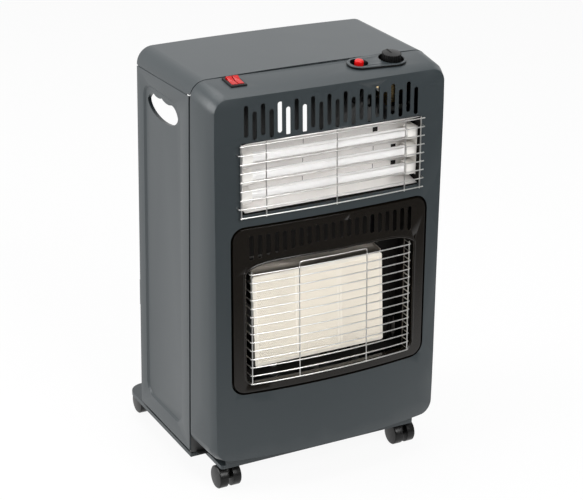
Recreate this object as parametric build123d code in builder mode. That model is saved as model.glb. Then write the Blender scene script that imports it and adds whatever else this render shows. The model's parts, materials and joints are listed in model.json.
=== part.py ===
"""Portable cabinet heater: a gas burner below, three quartz tubes above, on four twin-wheel castors."""
import os
from math import atan, atan2, cos, degrees, radians, sin, sqrt

from build123d import *

os.makedirs("parts", exist_ok=True)

# ---------------------------------------------------------------- driving dimensions (mm)
# a drop is measured down from the seam's height, a margin inwards from the cabinet's side
sheet = 1.0                     # steel sheet of the whole cabinet
cabinet_width = 435.0
seam_height = 706.5             # top of the cabinet where cover and front meet
roof_crown = 2.0                # the cover rises this much along its middle
shoulder_radius = 28.0          # round shoulders of cover and front
cabinet_depth = 199.0           # from the seam back to the open rear

# the deep-drawn front, measured forward from the seam
front_bottom = 66.0
front_side_reach_top = 70.0
front_side_reach_bottom = 84.0
front_bow_top = 1.0
front_bow_bottom = 24.0
front_draft = 0.06              # the sides lean in towards the face, mm for each mm
front_top_fall = 0.115          # the top flange falls towards the face, mm for each mm
bevel_back = 16.0               # soft bevel round the face: how far back
bevel_in = 5.5                  # and how far in
seam_gap = 4.5                  # dark joint between front and sides
cover_gap = 1.6                 # joint between cover and front
cut_start = 20.0                # openings in the face are cut from this far forward of the seam
flange_cut = 12.0               # and those in the top flange from this far below it

# air slots above the quartz tubes
slot_pitch = 14.65
slot_width = 7.6
upper_slot_count = 22
long_slot_drop, long_slot_length = 27.5, 51.0
short_slot_drop, short_slot_length = 38.5, 46.0

# window of the quartz heater
window_margin, window_drop, window_height = 53.5, 87.5, 118.0
window_corner = 5.0

# opening for the enamelled bezel
opening_margin, opening_drop, opening_tall = 35.5, 225.5, 292.0
opening_corner = 24.0

# bezel
bezel_gap, gap_depth = 4.0, 8.0     # shadow gap round the bezel, down to its rim
bezel_flange = 7.0              # hidden rim behind the front
bezel_proud = 0.4               # its field stands this much in front of the front's skin
bezel_slot_count = 21
bezel_slot_drop = 241.5
bezel_slot_low_end, bezel_slot_low_middle = 285.5, 270.5    # drops of their lower ends, along an arch
arch_margin = 57.5
arch_end_drop, arch_middle_drop, arch_low_drop = 303.5, 288.5, 501.5
arch_low_round, arch_top_round = 16.0, 7.0
bezel_return = 15.0             # depth of the turned-in lip round the arch

# wire guards
wire = 2.2
cross_wire = 1.9
upper_bar_count = 9
upper_bar_top_drop, upper_bar_low_drop = 90.5, 208.0
upper_guard_margin = 52.5
upper_guard_stand = 6.5
upper_rod_places = (-122.0, 4.0, 132.0)     # rods between the end rods
last_rod_inset = 3.0            # the right end rod sits this far in
lower_bar_count = 14
lower_bar_top_drop, lower_bar_low_drop = 307.5, 499.0
lower_guard_margin = 70.5       # of its upright end rods
lower_bar_overhang = 2.6        # the bars run past these rods and turn back
lower_guard_stand = 3.0
lower_return = 21.0
u_rod_half = 63.0
u_rod_drop = 298.5
wire_bend = 5.0
wire_sides = 6
weld_gap = 0.05                 # crossing wires stay separate solids, a hair apart
pilot_bite = 0.4                # the pilot burner sinks into its plate this much
guard_overhang = 3.0
foot_depth = 6.0                # of the upper guard's feet, behind the front's skin
end_rod_low, end_rod_high = 1.6, 5.2    # the end rods reach from lip to lip of the arch
foot_bars = (1, 7)              # the bars that carry them, counted from the lowest

# burner
plaque_count = 3
plaque_width, plaque_height, plaque_thick = 78.0, 148.0, 13.0
plaque_joint = 1.2
burner_tilt = 5.6               # degrees, facing slightly up
burner_drop = 413.5             # middle of the plaques
burner_face_reach = 45.5        # of the plaques, forward of the seam
burner_rim = 3.0                # of the burner's body, beside the plaques
burner_box_depth = 30.0
plaque_seat = 5.0               # the plaques rest on a ledge this wide
plaque_edge = 0.8
frame_skirt, frame_lip = 8.0, 1.2
bracket_reach, bracket_height, bracket_foot = 33.0, 50.0, 14.0
cradle_inner, cradle_outer, cradle_drop = 40.0, 58.0, 16.0
mixer_radius, mixer_flare = 7.0, 11.0
mixer_length, mixer_cone = 48.0, 12.0
manifold_radius, manifold_half = 6.0, 100.0
injector_radius, injector_hex, injector_height = 5.0, 4.0, 8.0
injector_entry, injector_taper = 3.0, 6.0
shield_beside, shield_rise, shield_turn = 1.0, 10.0, 8.0    # plate above the plaques
shield_flange = 5.0
liner_margin, liner_reach, liner_floor_drop, liner_top_drop = 49.5, 60.0, 505.5, 266.5
liner_back_reach, liner_back_above = 17.0, 12.0     # black sheets behind the burner, in front of the pipes

# quartz heater
tube_radius = 8.0
tube_margin = 58.5
tube_wall = 1.2
tube_drops = (119.5, 150.5, 181.5)
tube_reach = 56.0
cap_size = 20.0
cap_length = 17.0
cap_corner, cap_floor = 2.0, 5.0
tube_shift = 4.0                # the tubes sit this far to the right of the middle
coil_bore = 4.5
bracket_end = 11.0
reflector_reach, reflector_lip = 36.0, 74.0
reflector_sheet = 0.6
reflector_over, reflector_under = 13.5, 16.0    # above the first tube and below the last
lip_drop, lip_step = 1.5, 4.0
ridge_half, ridge_height = 8.0, 8.0
housing_margin = 2.5
housing_back = 25.0
roof_start, roof_end, roof_slope = 74.0, 38.0, 0.5    # its roof slopes down to the rear
terminal_x, terminal_wide, terminal_tall, terminal_deep = 60.0, 40.0, 20.0, 12.0
terminal_drop = 156.5
terminal_shares = (0.2, 0.5, 0.8)

# controls on the top flange
rocker_margin, rocker_reach = 66.0, 27.0
rocker_frame_width, rocker_frame_depth = 28.0, 35.0
rocker_rim = 2.3                # of the switch's frame, over the flange
rocker_width, rocker_depth = 9.4, 25.0
rocker_travel = 8.0             # degrees each way
knob_margin, button_spacing, control_reach = 87.5, 60.0, 29.0
button_well, knob_well = 30.0, 42.0
well_depth = 8.0
escutcheon_small, escutcheon_large = 20.0, 25.0
escutcheon_rise = 4.5
button_radius, button_travel = 7.5, 4.5
button_stand, button_tail, button_dome = 4.8, 8.0, 3.0
piezo_radius, piezo_length = 10.0, 42.0
knob_radius, knob_height = 16.0, 14.0
knob_ribs, knob_groove = 24, 1.0
knob_travel = 3.0               # pressed in to light the pilot flame
knob_crown = 3.0
pointer_width, pointer_rise = 2.4, 0.8
spindle_radius, spindle_depth = 3.0, 20.0
rocker_bezel, rocker_body = 3.0, 16.0
rocker_rib, rocker_swing = 1.2, 1.0
rocker_pivot_height = 0.0
rocker_pin, rocker_pin_length = 1.2, 0.5
rocker_stand, rocker_dip, rocker_keel, rocker_round = 2.4, 2.0, 5.0, 1.0
blade_length, blade_width = 8.0, 6.3
running_clearance = 0.05        # radial, shafts in their holes

# base and castors
tray_top = 48.0
tray_lip = 7.0
tray_corner = 30.0
tray_rear = 272.0               # behind the seam
tray_front = 62.0               # forward of the seam
tray_margin, tray_front_margin = 2.5, 29.5      # narrower under the front
tray_front_corner = 6.0
tab_front, tab_rear, tab_width, tab_height = 35.0, 165.0, 30.0, 22.0
upstand_margin = 37.5
castor_margin_front, castor_margin_rear = 46.5, 34.5
castor_forward, castor_rearward = 33.0, 243.0
castor_trail = 13.0
wheel_radius, wheel_width = 20.0, 15.0
wheel_round, wheel_face = 1.5, 2.5
castor_body_width = 9.0
web_foot, castor_neck = 9.0, 8.0
stem_flange, stem_length = 8.0, 14.0
axle_radius = 3.0
stem_radius = 3.0

# side panels
side_bottom = 55.0
side_tongue, side_tongue_inset = 14.0, 2.3      # enters the front by this much, set in
side_tongue_bottom, side_tongue_drop = 96.0, 34.5
top_tongue, top_tongue_start = 12.0, 9.0        # behind the cover's edge
rear_fold = 15.0
field_front, field_rear = 30.0, 174.0       # pressed field, behind the seam
field_bottom, field_drop = 85.0, 50.5
field_depth, field_bevel, field_corner = 3.0, 4.0, 24.0
cover_drop_front, cover_drop_rear = 22.5, 29.5      # lower edge of the cover's sides
cover_side_gap = 2.2
cover_allowance = 10.0          # the cover's sides are cut back by this much
tongue_reach = 5.6              # of the cover, forward of the seam
joggle_depth = 6.0              # the cover's tongue starts this far behind its front edge
hole_middle, hole_half = 104.0, 58.0
hole_waist_drop, hole_top_drop, hole_low = 76.5, 61.5, 23.5
hole_round = 18.0               # rounding of the hole's upper ends
lobe_rear, lobe_mid, lobe_front = 38.0, 4.0, 34.0   # joints of the finger lobes, from the hole's middle
lobe_sag = 3.4
hole_lip = 5.0                  # its edge is turned in this much
fold = 12.0
screw_radius, screw_head, screw_length = 1.9, 3.6, 6.0
cover_screw_x, cover_screw_drop = 120.0, 7.0

# partition between the front and the bottle's bay
partition_drop = 38.5
air_windows = ((-60.0, -34.0), (-20.0, 0.0))    # left and right edges
air_window_drop, air_window_tall, air_window_corner = 56.5, 65.0, 4.0
partition_hole_gap = 3.0
gland_margin, gland_height, gland_radius = 52.5, 92.0, 6.0

# gas valve under the knob
valve_drop = 72.5               # underside of its body
nozzle_above, nozzle_radius = 16.0, 5.0
valve_neck, neck_radius, valve_radius = 18.0, 7.0, 13.0
magnet_radius, magnet_above, magnet_reach = 7.0, 18.0, 36.0
outlet_radius, outlet_length = 6.0, 6.0
boss_depth = 12.0               # the inlet boss ends this far forward of the seam
pilot_port_radius, pilot_port_length, pilot_port_above = 3.5, 6.0, 11.0
nozzle_collar, nozzle_reach, nozzle_bore, barb_pitch = 7.0, 34.0, 2.5, 5.0

# pipes and leads, all held in the front part of the cabinet
pipe_radius, pipe_bend, pipe_sides = 4.0, 7.0, 8
pipe_margin, pipe_depth, pipe_below_valve = 32.5, 12.0, 16.0
lead_sides, lead_bend, lead_radius = 6, 6.0, 1.5
lead_depth = 5.0
pilot_pipe_radius = 2.0
pilot_beside_valve, pilot_turn_below, pilot_cross_below = 32.0, 6.0, 44.0
pilot_inside, sensor_inside, spark_inside = 16.0, 6.0, 12.0     # their lanes, inside the liner's wall
pilot_drop, sensor_drop, sensor_loop = 6.5, 10.4, 14.0
spark_drop, spark_over_floor, spark_bend = 20.0, 2.2, 4.0
leads_radius, leads_drop, leads_depth = 3.0, 14.0, 19.0

# pilot group beside the plaques
stand_reach, stand_tall = 42.0, 20.0
pilot_above_floor = 16.0
pilot_beside, pilot_radius, pilot_tall = 9.4, 4.0, 24.0     # beside the burner's body
sensor_beside, sensor_radius, sensor_tall = 17.9, 2.0, 30.0
spark_beside, spark_radius, spark_tall, spark_tip, spark_wire = 26.4, 3.0, 22.0, 9.0, 0.9

# small fittings
tilt_margin, tilt_reach, tilt_wide, tilt_tall = 67.5, 12.0, 22.0, 24.0
gland_collar, gland_depth, gland_bore = 3.0, 12.0, 3.5
clip_margin, clip_foot, clip_low, clip_tall, clip_reach = 5.0, 10.0, 237.0, 94.0, 13.0

clearance = 0.3                 # between pieces that only stand beside each other

# ---------------------------------------------------------------- derived places
half = cabinet_width / 2
front_height = seam_height - front_bottom
window_width = cabinet_width - 2 * window_margin
window_top = seam_height - window_drop
window_bottom = window_top - window_height
opening_width = cabinet_width - 2 * opening_margin
opening_top = seam_height - opening_drop
opening_bottom = opening_top - opening_tall
arch_half_width = half - arch_margin
arch_bottom = seam_height - arch_low_drop
arch_end_height = seam_height - arch_end_drop
arch_middle_height = seam_height - arch_middle_drop
bezel_slot_top = seam_height - bezel_slot_drop
upper_guard_half = half - upper_guard_margin
upper_bar_low = seam_height - upper_bar_low_drop
upper_bar_high = seam_height - upper_bar_top_drop
lower_guard_half = half - lower_guard_margin
lower_bar_low = seam_height - lower_bar_low_drop
lower_bar_high = seam_height - lower_bar_top_drop
u_rod_top = seam_height - u_rod_drop
burner_centre_height = seam_height - burner_drop
liner_half = half - liner_margin
liner_floor = seam_height - liner_floor_drop
liner_top = seam_height - liner_top_drop
pilot_low = liner_floor + pilot_above_floor
tube_length = cabinet_width - 2 * tube_margin
tube_heights = tuple(seam_height - drop for drop in tube_drops)
reflector_top = tube_heights[0] + reflector_over
reflector_low = tube_heights[-1] - reflector_under
terminal_height = seam_height - terminal_drop
rocker_x = rocker_margin - half
knob_x = half - knob_margin
button_x = knob_x - button_spacing
tray_half = half - tray_margin
tray_front_half = half - tray_front_margin
upstand_half = half - upstand_margin
castor_x_front = half - castor_margin_front
castor_x_rear = half - castor_margin_rear
side_tongue_top = seam_height - side_tongue_drop
field_top = seam_height - field_drop
cover_edge_front = seam_height - cover_drop_front
cover_edge_rear = seam_height - cover_drop_rear
hole_waist = seam_height - hole_waist_drop
hole_top = seam_height - hole_top_drop
cover_screw_height = seam_height - cover_screw_drop
partition_shoulder = seam_height - partition_drop
air_window_top = seam_height - air_window_drop
air_window_bottom = air_window_top - air_window_tall
gland_x = gland_margin - half
valve_height = seam_height - valve_drop
magnet_height = valve_height + magnet_above
pilot_port_height = valve_height + pilot_port_above
pipe_lane = half - pipe_margin
cross_pipe_height = valve_height - pipe_below_valve
pilot_drop_x = knob_x - pilot_beside_valve
pilot_turn_height = valve_height - pilot_turn_below
pilot_cross_height = valve_height - pilot_cross_below
pilot_lane = liner_half - pilot_inside
sensor_lane = liner_half - sensor_inside
spark_lane = liner_half - spark_inside
tilt_x = tilt_margin - half
clip_left = clip_margin - half
clip_middle = clip_low + clip_tall / 2
clip_high = clip_low + clip_tall


def bowed_reach(z):
    # at this height: how far the front's skin stands forward at its sides, and how much it bows
    share = (seam_height - z) / front_height
    side = front_side_reach_top + (front_side_reach_bottom - front_side_reach_top) * share
    bow = front_bow_top + (front_bow_bottom - front_bow_top) * share
    return side, bow


def face_reach(z, x=0.0):
    # how far the front's skin stands forward of the seam at this height and place
    side, bow = bowed_reach(z)
    return side + bow * (1 - (x / half) ** 2)


front_most = face_reach(front_bottom + bevel_in)
rear_most = castor_rearward + castor_trail + wheel_radius
seam_y = (front_most - rear_most) / 2       # so that the footprint is centred on the origin
rear_y = seam_y + cabinet_depth


def facing(y):
    # upright plane across the cabinet at this depth; a positive extrusion runs to the front
    return Plane.XZ.offset(-y)


def forward(reach):
    return seam_y - reach


def behind(depth):
    return seam_y + depth


def side_plane(x):
    # upright plane along the cabinet; sketched as (depth behind the seam, height), extruded to the right
    return Plane(origin=(x, seam_y, 0), x_dir=(0, 1, 0), z_dir=(1, 0, 0))


def block(low, high, mode=Mode.ADD):
    # plain plate or block between two corners
    with Locations(tuple((a + b) / 2 for a, b in zip(low, high))):
        Box(*(b - a for a, b in zip(low, high)), mode=mode)


def wire_run(points, thick, bend, sides=8):
    # wire or pipe through the points, its corners rounded to the bend radius
    with BuildPart() as run:
        with BuildLine() as route:
            if len(points) > 2:
                FilletPolyline(*points, radius=bend)
            else:
                Line(*points)
        with BuildSketch(Plane(origin=route.line @ 0, z_dir=route.line % 0)):
            RegularPolygon(thick / 2, sides)
        sweep(path=route.line)
    return run.part


def finish(piece, name):
    piece.part.label = name
    export_step(piece.part, f"parts/{name}.step")


# ---------------------------------------------------------------- forms shared by several pieces
def face_slab(near, far):
    # the front's bowed face as a slab between two depths behind its skin
    with BuildPart() as slab:
        for z, reach, bow in (
            (0, *bowed_reach(0)),
            (seam_height + sheet, *bowed_reach(seam_height + sheet)),
        ):
            skin = seam_y - reach
            with BuildSketch(Plane.XY.offset(z)):
                with BuildLine():
                    ThreePointArc((-half, skin + near), (0, skin + near - bow), (half, skin + near))
                    Line((half, skin + near), (half, skin + far))
                    ThreePointArc((half, skin + far), (0, skin + far - bow), (-half, skin + far))
                    Line((-half, skin + far), (-half, skin + near))
                make_face()
        loft(ruled=True)
    return slab.part


def front_form(inset):
    # the drawn front as a solid, shrunk by inset all round: a leaning round-cornered block with a bowed face
    with BuildPart() as form:
        for ahead in (-sheet, front_most + sheet):
            top = seam_height - inset - ahead * front_top_fall
            low = front_bottom + inset
            wide = cabinet_width - 2 * inset - 2 * ahead * front_draft
            with BuildSketch(facing(seam_y - ahead)):
                with Locations((0, (top + low) / 2)):
                    RectangleRounded(wide, top - low, shoulder_radius - inset)
        loft(ruled=True)
        add(face_slab(inset, 2 * front_most), mode=Mode.INTERSECT)
        face = form.faces().sort_by(Axis.Y)[0]
        chamfer(face.edges(), length=bevel_in, length2=bevel_back, reference=face)
    return form.part


def opening_prism(inset):
    # straight prism through the face, along the bezel's opening
    wide = opening_width - 2 * inset
    tall = opening_top - opening_bottom - 2 * inset
    with BuildPart() as prism:
        with BuildSketch(facing(forward(cut_start))):
            with Locations((0, (opening_bottom + opening_top) / 2)):
                RectangleRounded(wide, tall, opening_corner - inset)
        extrude(amount=front_most)
    return prism.part


def arch_prism(grow):
    # straight prism through the bezel's arched window, grown by a margin
    side = arch_half_width + grow
    low = arch_bottom - grow
    with BuildPart() as prism:
        with BuildSketch(facing(forward(cut_start))):
            with BuildLine():
                Polyline(
                    (-side, arch_end_height + grow), (-side, low), (side, low), (side, arch_end_height + grow)
                )
                ThreePointArc(
                    (side, arch_end_height + grow),
                    (0, arch_middle_height + grow),
                    (-side, arch_end_height + grow),
                )
            make_face()
            bends = vertices().group_by(Axis.Y)
            fillet(bends[0], radius=arch_low_round + grow)
            fillet(vertices().group_by(Axis.Y)[-1], radius=arch_top_round + grow)
        extrude(amount=front_most)
    return prism.part


def face_wall(outer, inner, near, far):
    # closed wall between two prisms, between two depths behind the front's skin
    with BuildPart() as wall:
        add(outer)
        add(inner, mode=Mode.SUBTRACT)
        add(face_slab(near, far), mode=Mode.INTERSECT)
    return wall.part


def slot_row(count):
    # sideways places of a row of slots, centred
    return [(index - (count - 1) / 2) * slot_pitch for index in range(count)]


def upright_slot(x, low, high):
    with Locations((x, (low + high) / 2)):
        SlotOverall(high - low, slot_width, rotation=90)


# ---------------------------------------------------------------- front panel
upper_foot_x = upper_guard_half + guard_overhang + wire / 2 + weld_gap
upper_bar_heights = [
    upper_bar_low + (upper_bar_high - upper_bar_low) * index / (upper_bar_count - 1)
    for index in range(upper_bar_count)
]
upper_foot_heights = [upper_bar_heights[index] for index in foot_bars]
flange_tilt = degrees(atan(front_top_fall))
flange_height = seam_height - control_reach * front_top_fall
flange_plane = Plane(
    origin=(0, forward(control_reach), flange_height),
    x_dir=(1, 0, 0),
    z_dir=(0, -sin(radians(flange_tilt)), cos(radians(flange_tilt))),
)
rocker_offset = control_reach - rocker_reach      # the switch sits this much nearer to the seam
rocker_body_width = rocker_frame_width - 2 * rocker_rim
rocker_body_depth = rocker_frame_depth - 2 * rocker_rim
slot_forms = ((long_slot_drop, long_slot_length), (short_slot_drop, short_slot_length))

with BuildPart() as front_panel:
    add(front_form(0))
    add(front_form(sheet), mode=Mode.SUBTRACT)
    split(bisect_by=facing(forward(seam_gap)), keep=Keep.TOP)
    with BuildSketch(facing(forward(cut_start))):
        for index, x in enumerate(slot_row(upper_slot_count)):
            drop, length = slot_forms[index % 2]
            upright_slot(x, seam_height - drop - length, seam_height - drop)
        with Locations((0, (window_bottom + window_top) / 2)):
            RectangleRounded(window_width, window_top - window_bottom, window_corner)
        with Locations([(sign * upper_foot_x, z) for sign in (-1, 1) for z in upper_foot_heights]):
            Circle(wire / 2 + clearance)
    extrude(amount=front_most, mode=Mode.SUBTRACT)
    # the bezel's opening has its edge turned in
    add(opening_prism(0), mode=Mode.SUBTRACT)
    add(face_wall(opening_prism(-sheet), opening_prism(0), 0, gap_depth - clearance))
    # openings in the top flange for the rocker switch and the two control wells
    with BuildSketch(flange_plane.offset(-flange_cut)):
        with Locations((rocker_x, rocker_offset)):
            Rectangle(rocker_body_width + 2 * clearance, rocker_body_depth + 2 * clearance)
        with Locations((button_x, 0)):
            Circle(button_well / 2 + sheet + clearance)
        with Locations((knob_x, 0)):
            Circle(knob_well / 2 + sheet + clearance)
    extrude(amount=2 * flange_cut, mode=Mode.SUBTRACT)
finish(front_panel, "front_panel")

# ---------------------------------------------------------------- top cover
cover_front = forward(seam_gap - cover_gap)
cover_depth = cabinet_depth + seam_gap - cover_gap
tongue_inset = sheet + tongue_reach * front_top_fall + roof_crown + clearance
tongue_inner = tongue_inset + sheet


def hood_outline(inset, low=cover_edge_rear - cover_allowance):
    # cross-section of the cover, shrunk by inset: round shoulders and a slightly crowned roof
    side = half - inset
    roof = seam_height - inset
    bend = shoulder_radius - inset
    middle = bend * (1 - sqrt(0.5))
    with BuildSketch() as outline:
        with BuildLine():
            Polyline((-side, roof - bend), (-side, low), (side, low), (side, roof - bend))
            ThreePointArc((side, roof - bend), (side - middle, roof - middle), (side - bend, roof))
            ThreePointArc((side - bend, roof), (0, roof + roof_crown), (bend - side, roof))
            ThreePointArc((bend - side, roof), (middle - side, roof - middle), (-side, roof - bend))
        make_face()
    return outline.sketch


with BuildPart() as top_cover:
    with BuildSketch(facing(rear_y)):
        add(hood_outline(0))
    extrude(amount=cover_depth)
    with BuildSketch(facing(rear_y - sheet)):
        add(hood_outline(sheet))
    extrude(amount=cover_depth, mode=Mode.SUBTRACT)
    # the rear edge is folded down
    with BuildSketch(facing(rear_y)):
        add(hood_outline(fold))
    extrude(amount=sheet, mode=Mode.SUBTRACT)
    # tongue that passes under the front's flange
    with BuildSketch(facing(cover_front + joggle_depth)):
        add(hood_outline(sheet))
        add(hood_outline(tongue_inner), mode=Mode.SUBTRACT)
    extrude(amount=sheet)
    with BuildSketch(facing(cover_front + joggle_depth)):
        add(hood_outline(tongue_inset))
        add(hood_outline(tongue_inner), mode=Mode.SUBTRACT)
    extrude(amount=cover_front + joggle_depth - forward(tongue_reach))
    # the side edges run down slightly to the rear
    with BuildSketch(side_plane(-half - sheet)):
        with BuildLine():
            Polyline(
                (-cabinet_depth, cover_edge_front),
                (0, cover_edge_front),
                (cabinet_depth + sheet, cover_edge_rear),
                (cabinet_depth + sheet, side_bottom),
                (-cabinet_depth, side_bottom),
                close=True,
            )
        make_face()
    extrude(amount=cabinet_width + 2 * sheet, mode=Mode.SUBTRACT)
    # holes for the rear screws
    with BuildSketch(facing(rear_y + sheet)):
        with Locations([(sign * cover_screw_x, cover_screw_height) for sign in (-1, 1)]):
            Circle(screw_radius + clearance)
    extrude(amount=3 * sheet, mode=Mode.SUBTRACT)
finish(top_cover, "top_cover")

# ---------------------------------------------------------------- side panels
field_taper = degrees(atan2(field_bevel, field_depth))
side_top_front = cover_edge_front - cover_side_gap
side_top_rear = cover_edge_rear - cover_side_gap
lobe_joints = (hole_middle + lobe_rear, hole_middle + lobe_mid, hole_middle - lobe_front)


def field_outline(grow):
    # pressed-in field of a side panel
    with BuildSketch() as outline:
        with Locations(((field_front + field_rear) / 2, (field_bottom + field_top) / 2)):
            RectangleRounded(
                field_rear - field_front + 2 * grow, field_top - field_bottom + 2 * grow, field_corner + grow
            )
    return outline.sketch


def hand_hole(grow):
    # an oval hole whose top edge hangs down in two finger lobes, grown by a margin
    rear, middle, front = lobe_joints
    reach = hole_half + grow
    drop = hole_low + grow
    top = hole_top + grow
    with BuildSketch() as outline:
        with BuildLine():
            EllipticalCenterArc((hole_middle, hole_waist), reach, drop, start_angle=180, arc_size=180)
            ThreePointArc(
                (hole_middle + reach, hole_waist),
                (hole_middle + reach - hole_round / 2, (hole_waist + top) / 2 + lobe_sag / 2),
                (rear, top),
            )
            ThreePointArc((rear, top), ((rear + middle) / 2, top - lobe_sag), (middle, top))
            ThreePointArc((middle, top), ((middle + front) / 2, top - lobe_sag), (front, top))
            ThreePointArc(
                (front, top),
                (hole_middle - reach + hole_round / 2, (hole_waist + top) / 2 + lobe_sag),
                (hole_middle - reach, hole_waist),
            )
        make_face()
    return outline.sketch


# strip behind the cover's edge, bent like the cover
with BuildPart() as cover_tongue:
    with BuildSketch(facing(rear_y - 2 * sheet)):
        add(hood_outline(sheet, low=side_top_rear - 2 * top_tongue))
        add(hood_outline(2 * sheet, low=side_top_rear - 2 * top_tongue), mode=Mode.SUBTRACT)
    extrude(amount=cabinet_depth - 2 * sheet - top_tongue_start)
    with BuildSketch(side_plane(-half)):
        with BuildLine():
            Polyline(
                (0, cover_edge_front - top_tongue),
                (cabinet_depth, cover_edge_rear - top_tongue),
                (cabinet_depth, cover_edge_rear + top_tongue / 2),
                (0, cover_edge_front + top_tongue / 2),
                close=True,
            )
        make_face()
    extrude(amount=shoulder_radius, mode=Mode.INTERSECT)

with BuildPart() as left_side_panel:
    with BuildSketch(side_plane(-half)):
        with BuildLine():
            Polyline(
                (0, side_bottom),
                (cabinet_depth, side_bottom),
                (cabinet_depth, side_top_rear),
                (0, side_top_front),
                close=True,
            )
        make_face()
    extrude(amount=sheet)
    with BuildSketch(side_plane(-half)):
        add(field_outline(sheet))
    extrude(amount=field_depth + sheet, taper=field_taper)
    with BuildSketch(side_plane(-half)):
        add(field_outline(0))
    extrude(amount=field_depth, taper=field_taper, mode=Mode.SUBTRACT)
    # hand hole with its edge turned in
    with BuildSketch(side_plane(-half + field_depth)):
        add(hand_hole(sheet))
    extrude(amount=sheet + hole_lip)
    with BuildSketch(side_plane(-half + field_depth)):
        add(hand_hole(0))
    extrude(amount=sheet + hole_lip, mode=Mode.SUBTRACT)
    # front joggle and the tongue that enters the front
    block((-half, behind(0), side_bottom), (-half + side_tongue_inset + sheet, behind(sheet), side_top_front))
    block(
        (-half + side_tongue_inset, forward(side_tongue), side_tongue_bottom),
        (-half + side_tongue_inset + sheet, behind(sheet), side_tongue_top),
    )
    # rear and bottom folds
    block((-half, rear_y - sheet, side_bottom), (-half + rear_fold, rear_y, side_top_rear))
    block((-half, behind(2 * sheet + clearance), side_bottom), (-half + fold, rear_y, side_bottom + sheet))
    # hook on the rear fold, longer in its lower half
    block((clip_left, rear_y, clip_low), (clip_left + clip_foot, rear_y + sheet, clip_high))
    block((clip_left, rear_y, clip_low), (clip_left + sheet, rear_y + clip_reach / 2, clip_high))
    block((clip_left, rear_y, clip_low), (clip_left + sheet, rear_y + clip_reach, clip_middle))
    add(cover_tongue.part)
finish(left_side_panel, "left_side_panel")

with BuildPart() as right_side_panel:
    add(mirror(left_side_panel.part, about=Plane.YZ, mode=Mode.PRIVATE))
finish(right_side_panel, "right_side_panel")

# ---------------------------------------------------------------- base tray
castor_places = [
    ("front_left", -castor_x_front, forward(castor_forward), -1),
    ("front_right", castor_x_front, forward(castor_forward), -1),
    ("rear_left", -castor_x_rear, behind(castor_rearward), 1),
    ("rear_right", castor_x_rear, behind(castor_rearward), 1),
]


def tray_outline(inset):
    # round corners at the rear, small ones at the front
    with BuildSketch() as outline:
        with Locations((0, behind(tray_rear / 2))):
            Rectangle(2 * (tray_half - inset), tray_rear - 2 * inset)
        with Locations((0, behind(inset) + (forward(tray_front) - seam_y) / 2)):
            Rectangle(2 * (tray_front_half - inset), tray_front)
        fillet(outline.vertices().group_by(Axis.Y)[-1], radius=tray_corner - inset)
        fillet(outline.vertices().group_by(Axis.Y)[0], radius=tray_front_corner - inset)
    return outline.sketch


with BuildPart() as base_tray:
    with BuildSketch(Plane.XY.offset(tray_top - tray_lip)):
        add(tray_outline(0))
    extrude(amount=tray_lip)
    with BuildSketch(Plane.XY.offset(tray_top - tray_lip)):
        add(tray_outline(sheet))
    extrude(amount=tray_lip - sheet, mode=Mode.SUBTRACT)
    with Locations([(x, y, tray_top) for _, x, y, _ in castor_places]):
        Hole(stem_radius + clearance)
finish(base_tray, "base_tray")

# welded on the tray: tabs beside the side panels and an upstand under the front
with BuildPart() as tray_tabs:
    for sign in (-1, 1):
        for middle in (tab_front, tab_rear):
            inner = sign * (half - fold - clearance - sheet)
            outer = sign * (half - fold - clearance)
            block(
                (min(inner, outer), behind(middle - tab_width / 2), tray_top),
                (max(inner, outer), behind(middle + tab_width / 2), tray_top + tab_height),
            )
    block(
        (-upstand_half, forward(tray_front), tray_top),
        (upstand_half, forward(tray_front - sheet), front_bottom),
    )
finish(tray_tabs, "tray_tabs")

# ---------------------------------------------------------------- rear partition
partition_half = half - sheet - clearance
nozzle_height = valve_height + nozzle_above

with BuildPart() as rear_partition:
    with BuildSketch(facing(behind(2 * sheet))):
        with Locations((0, (tray_top + partition_shoulder) / 2)):
            Rectangle(2 * partition_half, partition_shoulder - tray_top)
        add(hood_outline(tongue_inner + clearance, low=partition_shoulder))
        # open to the bottle's bay, for air
        for left, right in air_windows:
            with Locations(((left + right) / 2, (air_window_bottom + air_window_top) / 2)):
                RectangleRounded(
                    right - left, air_window_top - air_window_bottom, air_window_corner, mode=Mode.SUBTRACT
                )
        with Locations((knob_x, nozzle_height)):
            Circle(nozzle_radius + partition_hole_gap, mode=Mode.SUBTRACT)
        with Locations((gland_x, gland_height)):
            Circle(gland_radius + clearance, mode=Mode.SUBTRACT)
    extrude(amount=sheet)
    # folded foot on the tray
    block(
        (-partition_half + fold, behind(sheet - fold), tray_top),
        (partition_half - fold, behind(2 * sheet), tray_top + sheet),
    )
finish(rear_partition, "rear_partition")


# ---------------------------------------------------------------- enamelled bezel round the burner
bezel_near = -bezel_proud
bezel_far = bezel_near + sheet
rim_far = gap_depth + sheet


bezel_slot_arch = bezel_slot_low_end - bezel_slot_low_middle

with BuildPart() as burner_bezel:
    add(face_wall(opening_prism(-bezel_flange), opening_prism(bezel_gap + sheet), gap_depth, rim_far))
    add(face_wall(opening_prism(bezel_gap), opening_prism(bezel_gap + sheet), bezel_near, rim_far))
    add(face_wall(opening_prism(bezel_gap), arch_prism(0), bezel_near, bezel_far))
    # the edge round the arch is turned in
    add(face_wall(arch_prism(sheet), arch_prism(0), bezel_near, bezel_near + bezel_return))
    with BuildSketch(facing(forward(cut_start))):
        for x in slot_row(bezel_slot_count):
            share = 1 - (x / arch_half_width) ** 2
            upright_slot(x, seam_height - bezel_slot_low_end + bezel_slot_arch * share, bezel_slot_top)
    extrude(amount=front_most, mode=Mode.SUBTRACT)
finish(burner_bezel, "burner_bezel")


# ---------------------------------------------------------------- wire guards
def guard_point(x, z, stand):
    return x, forward(face_reach(z, x) + stand), z


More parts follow.
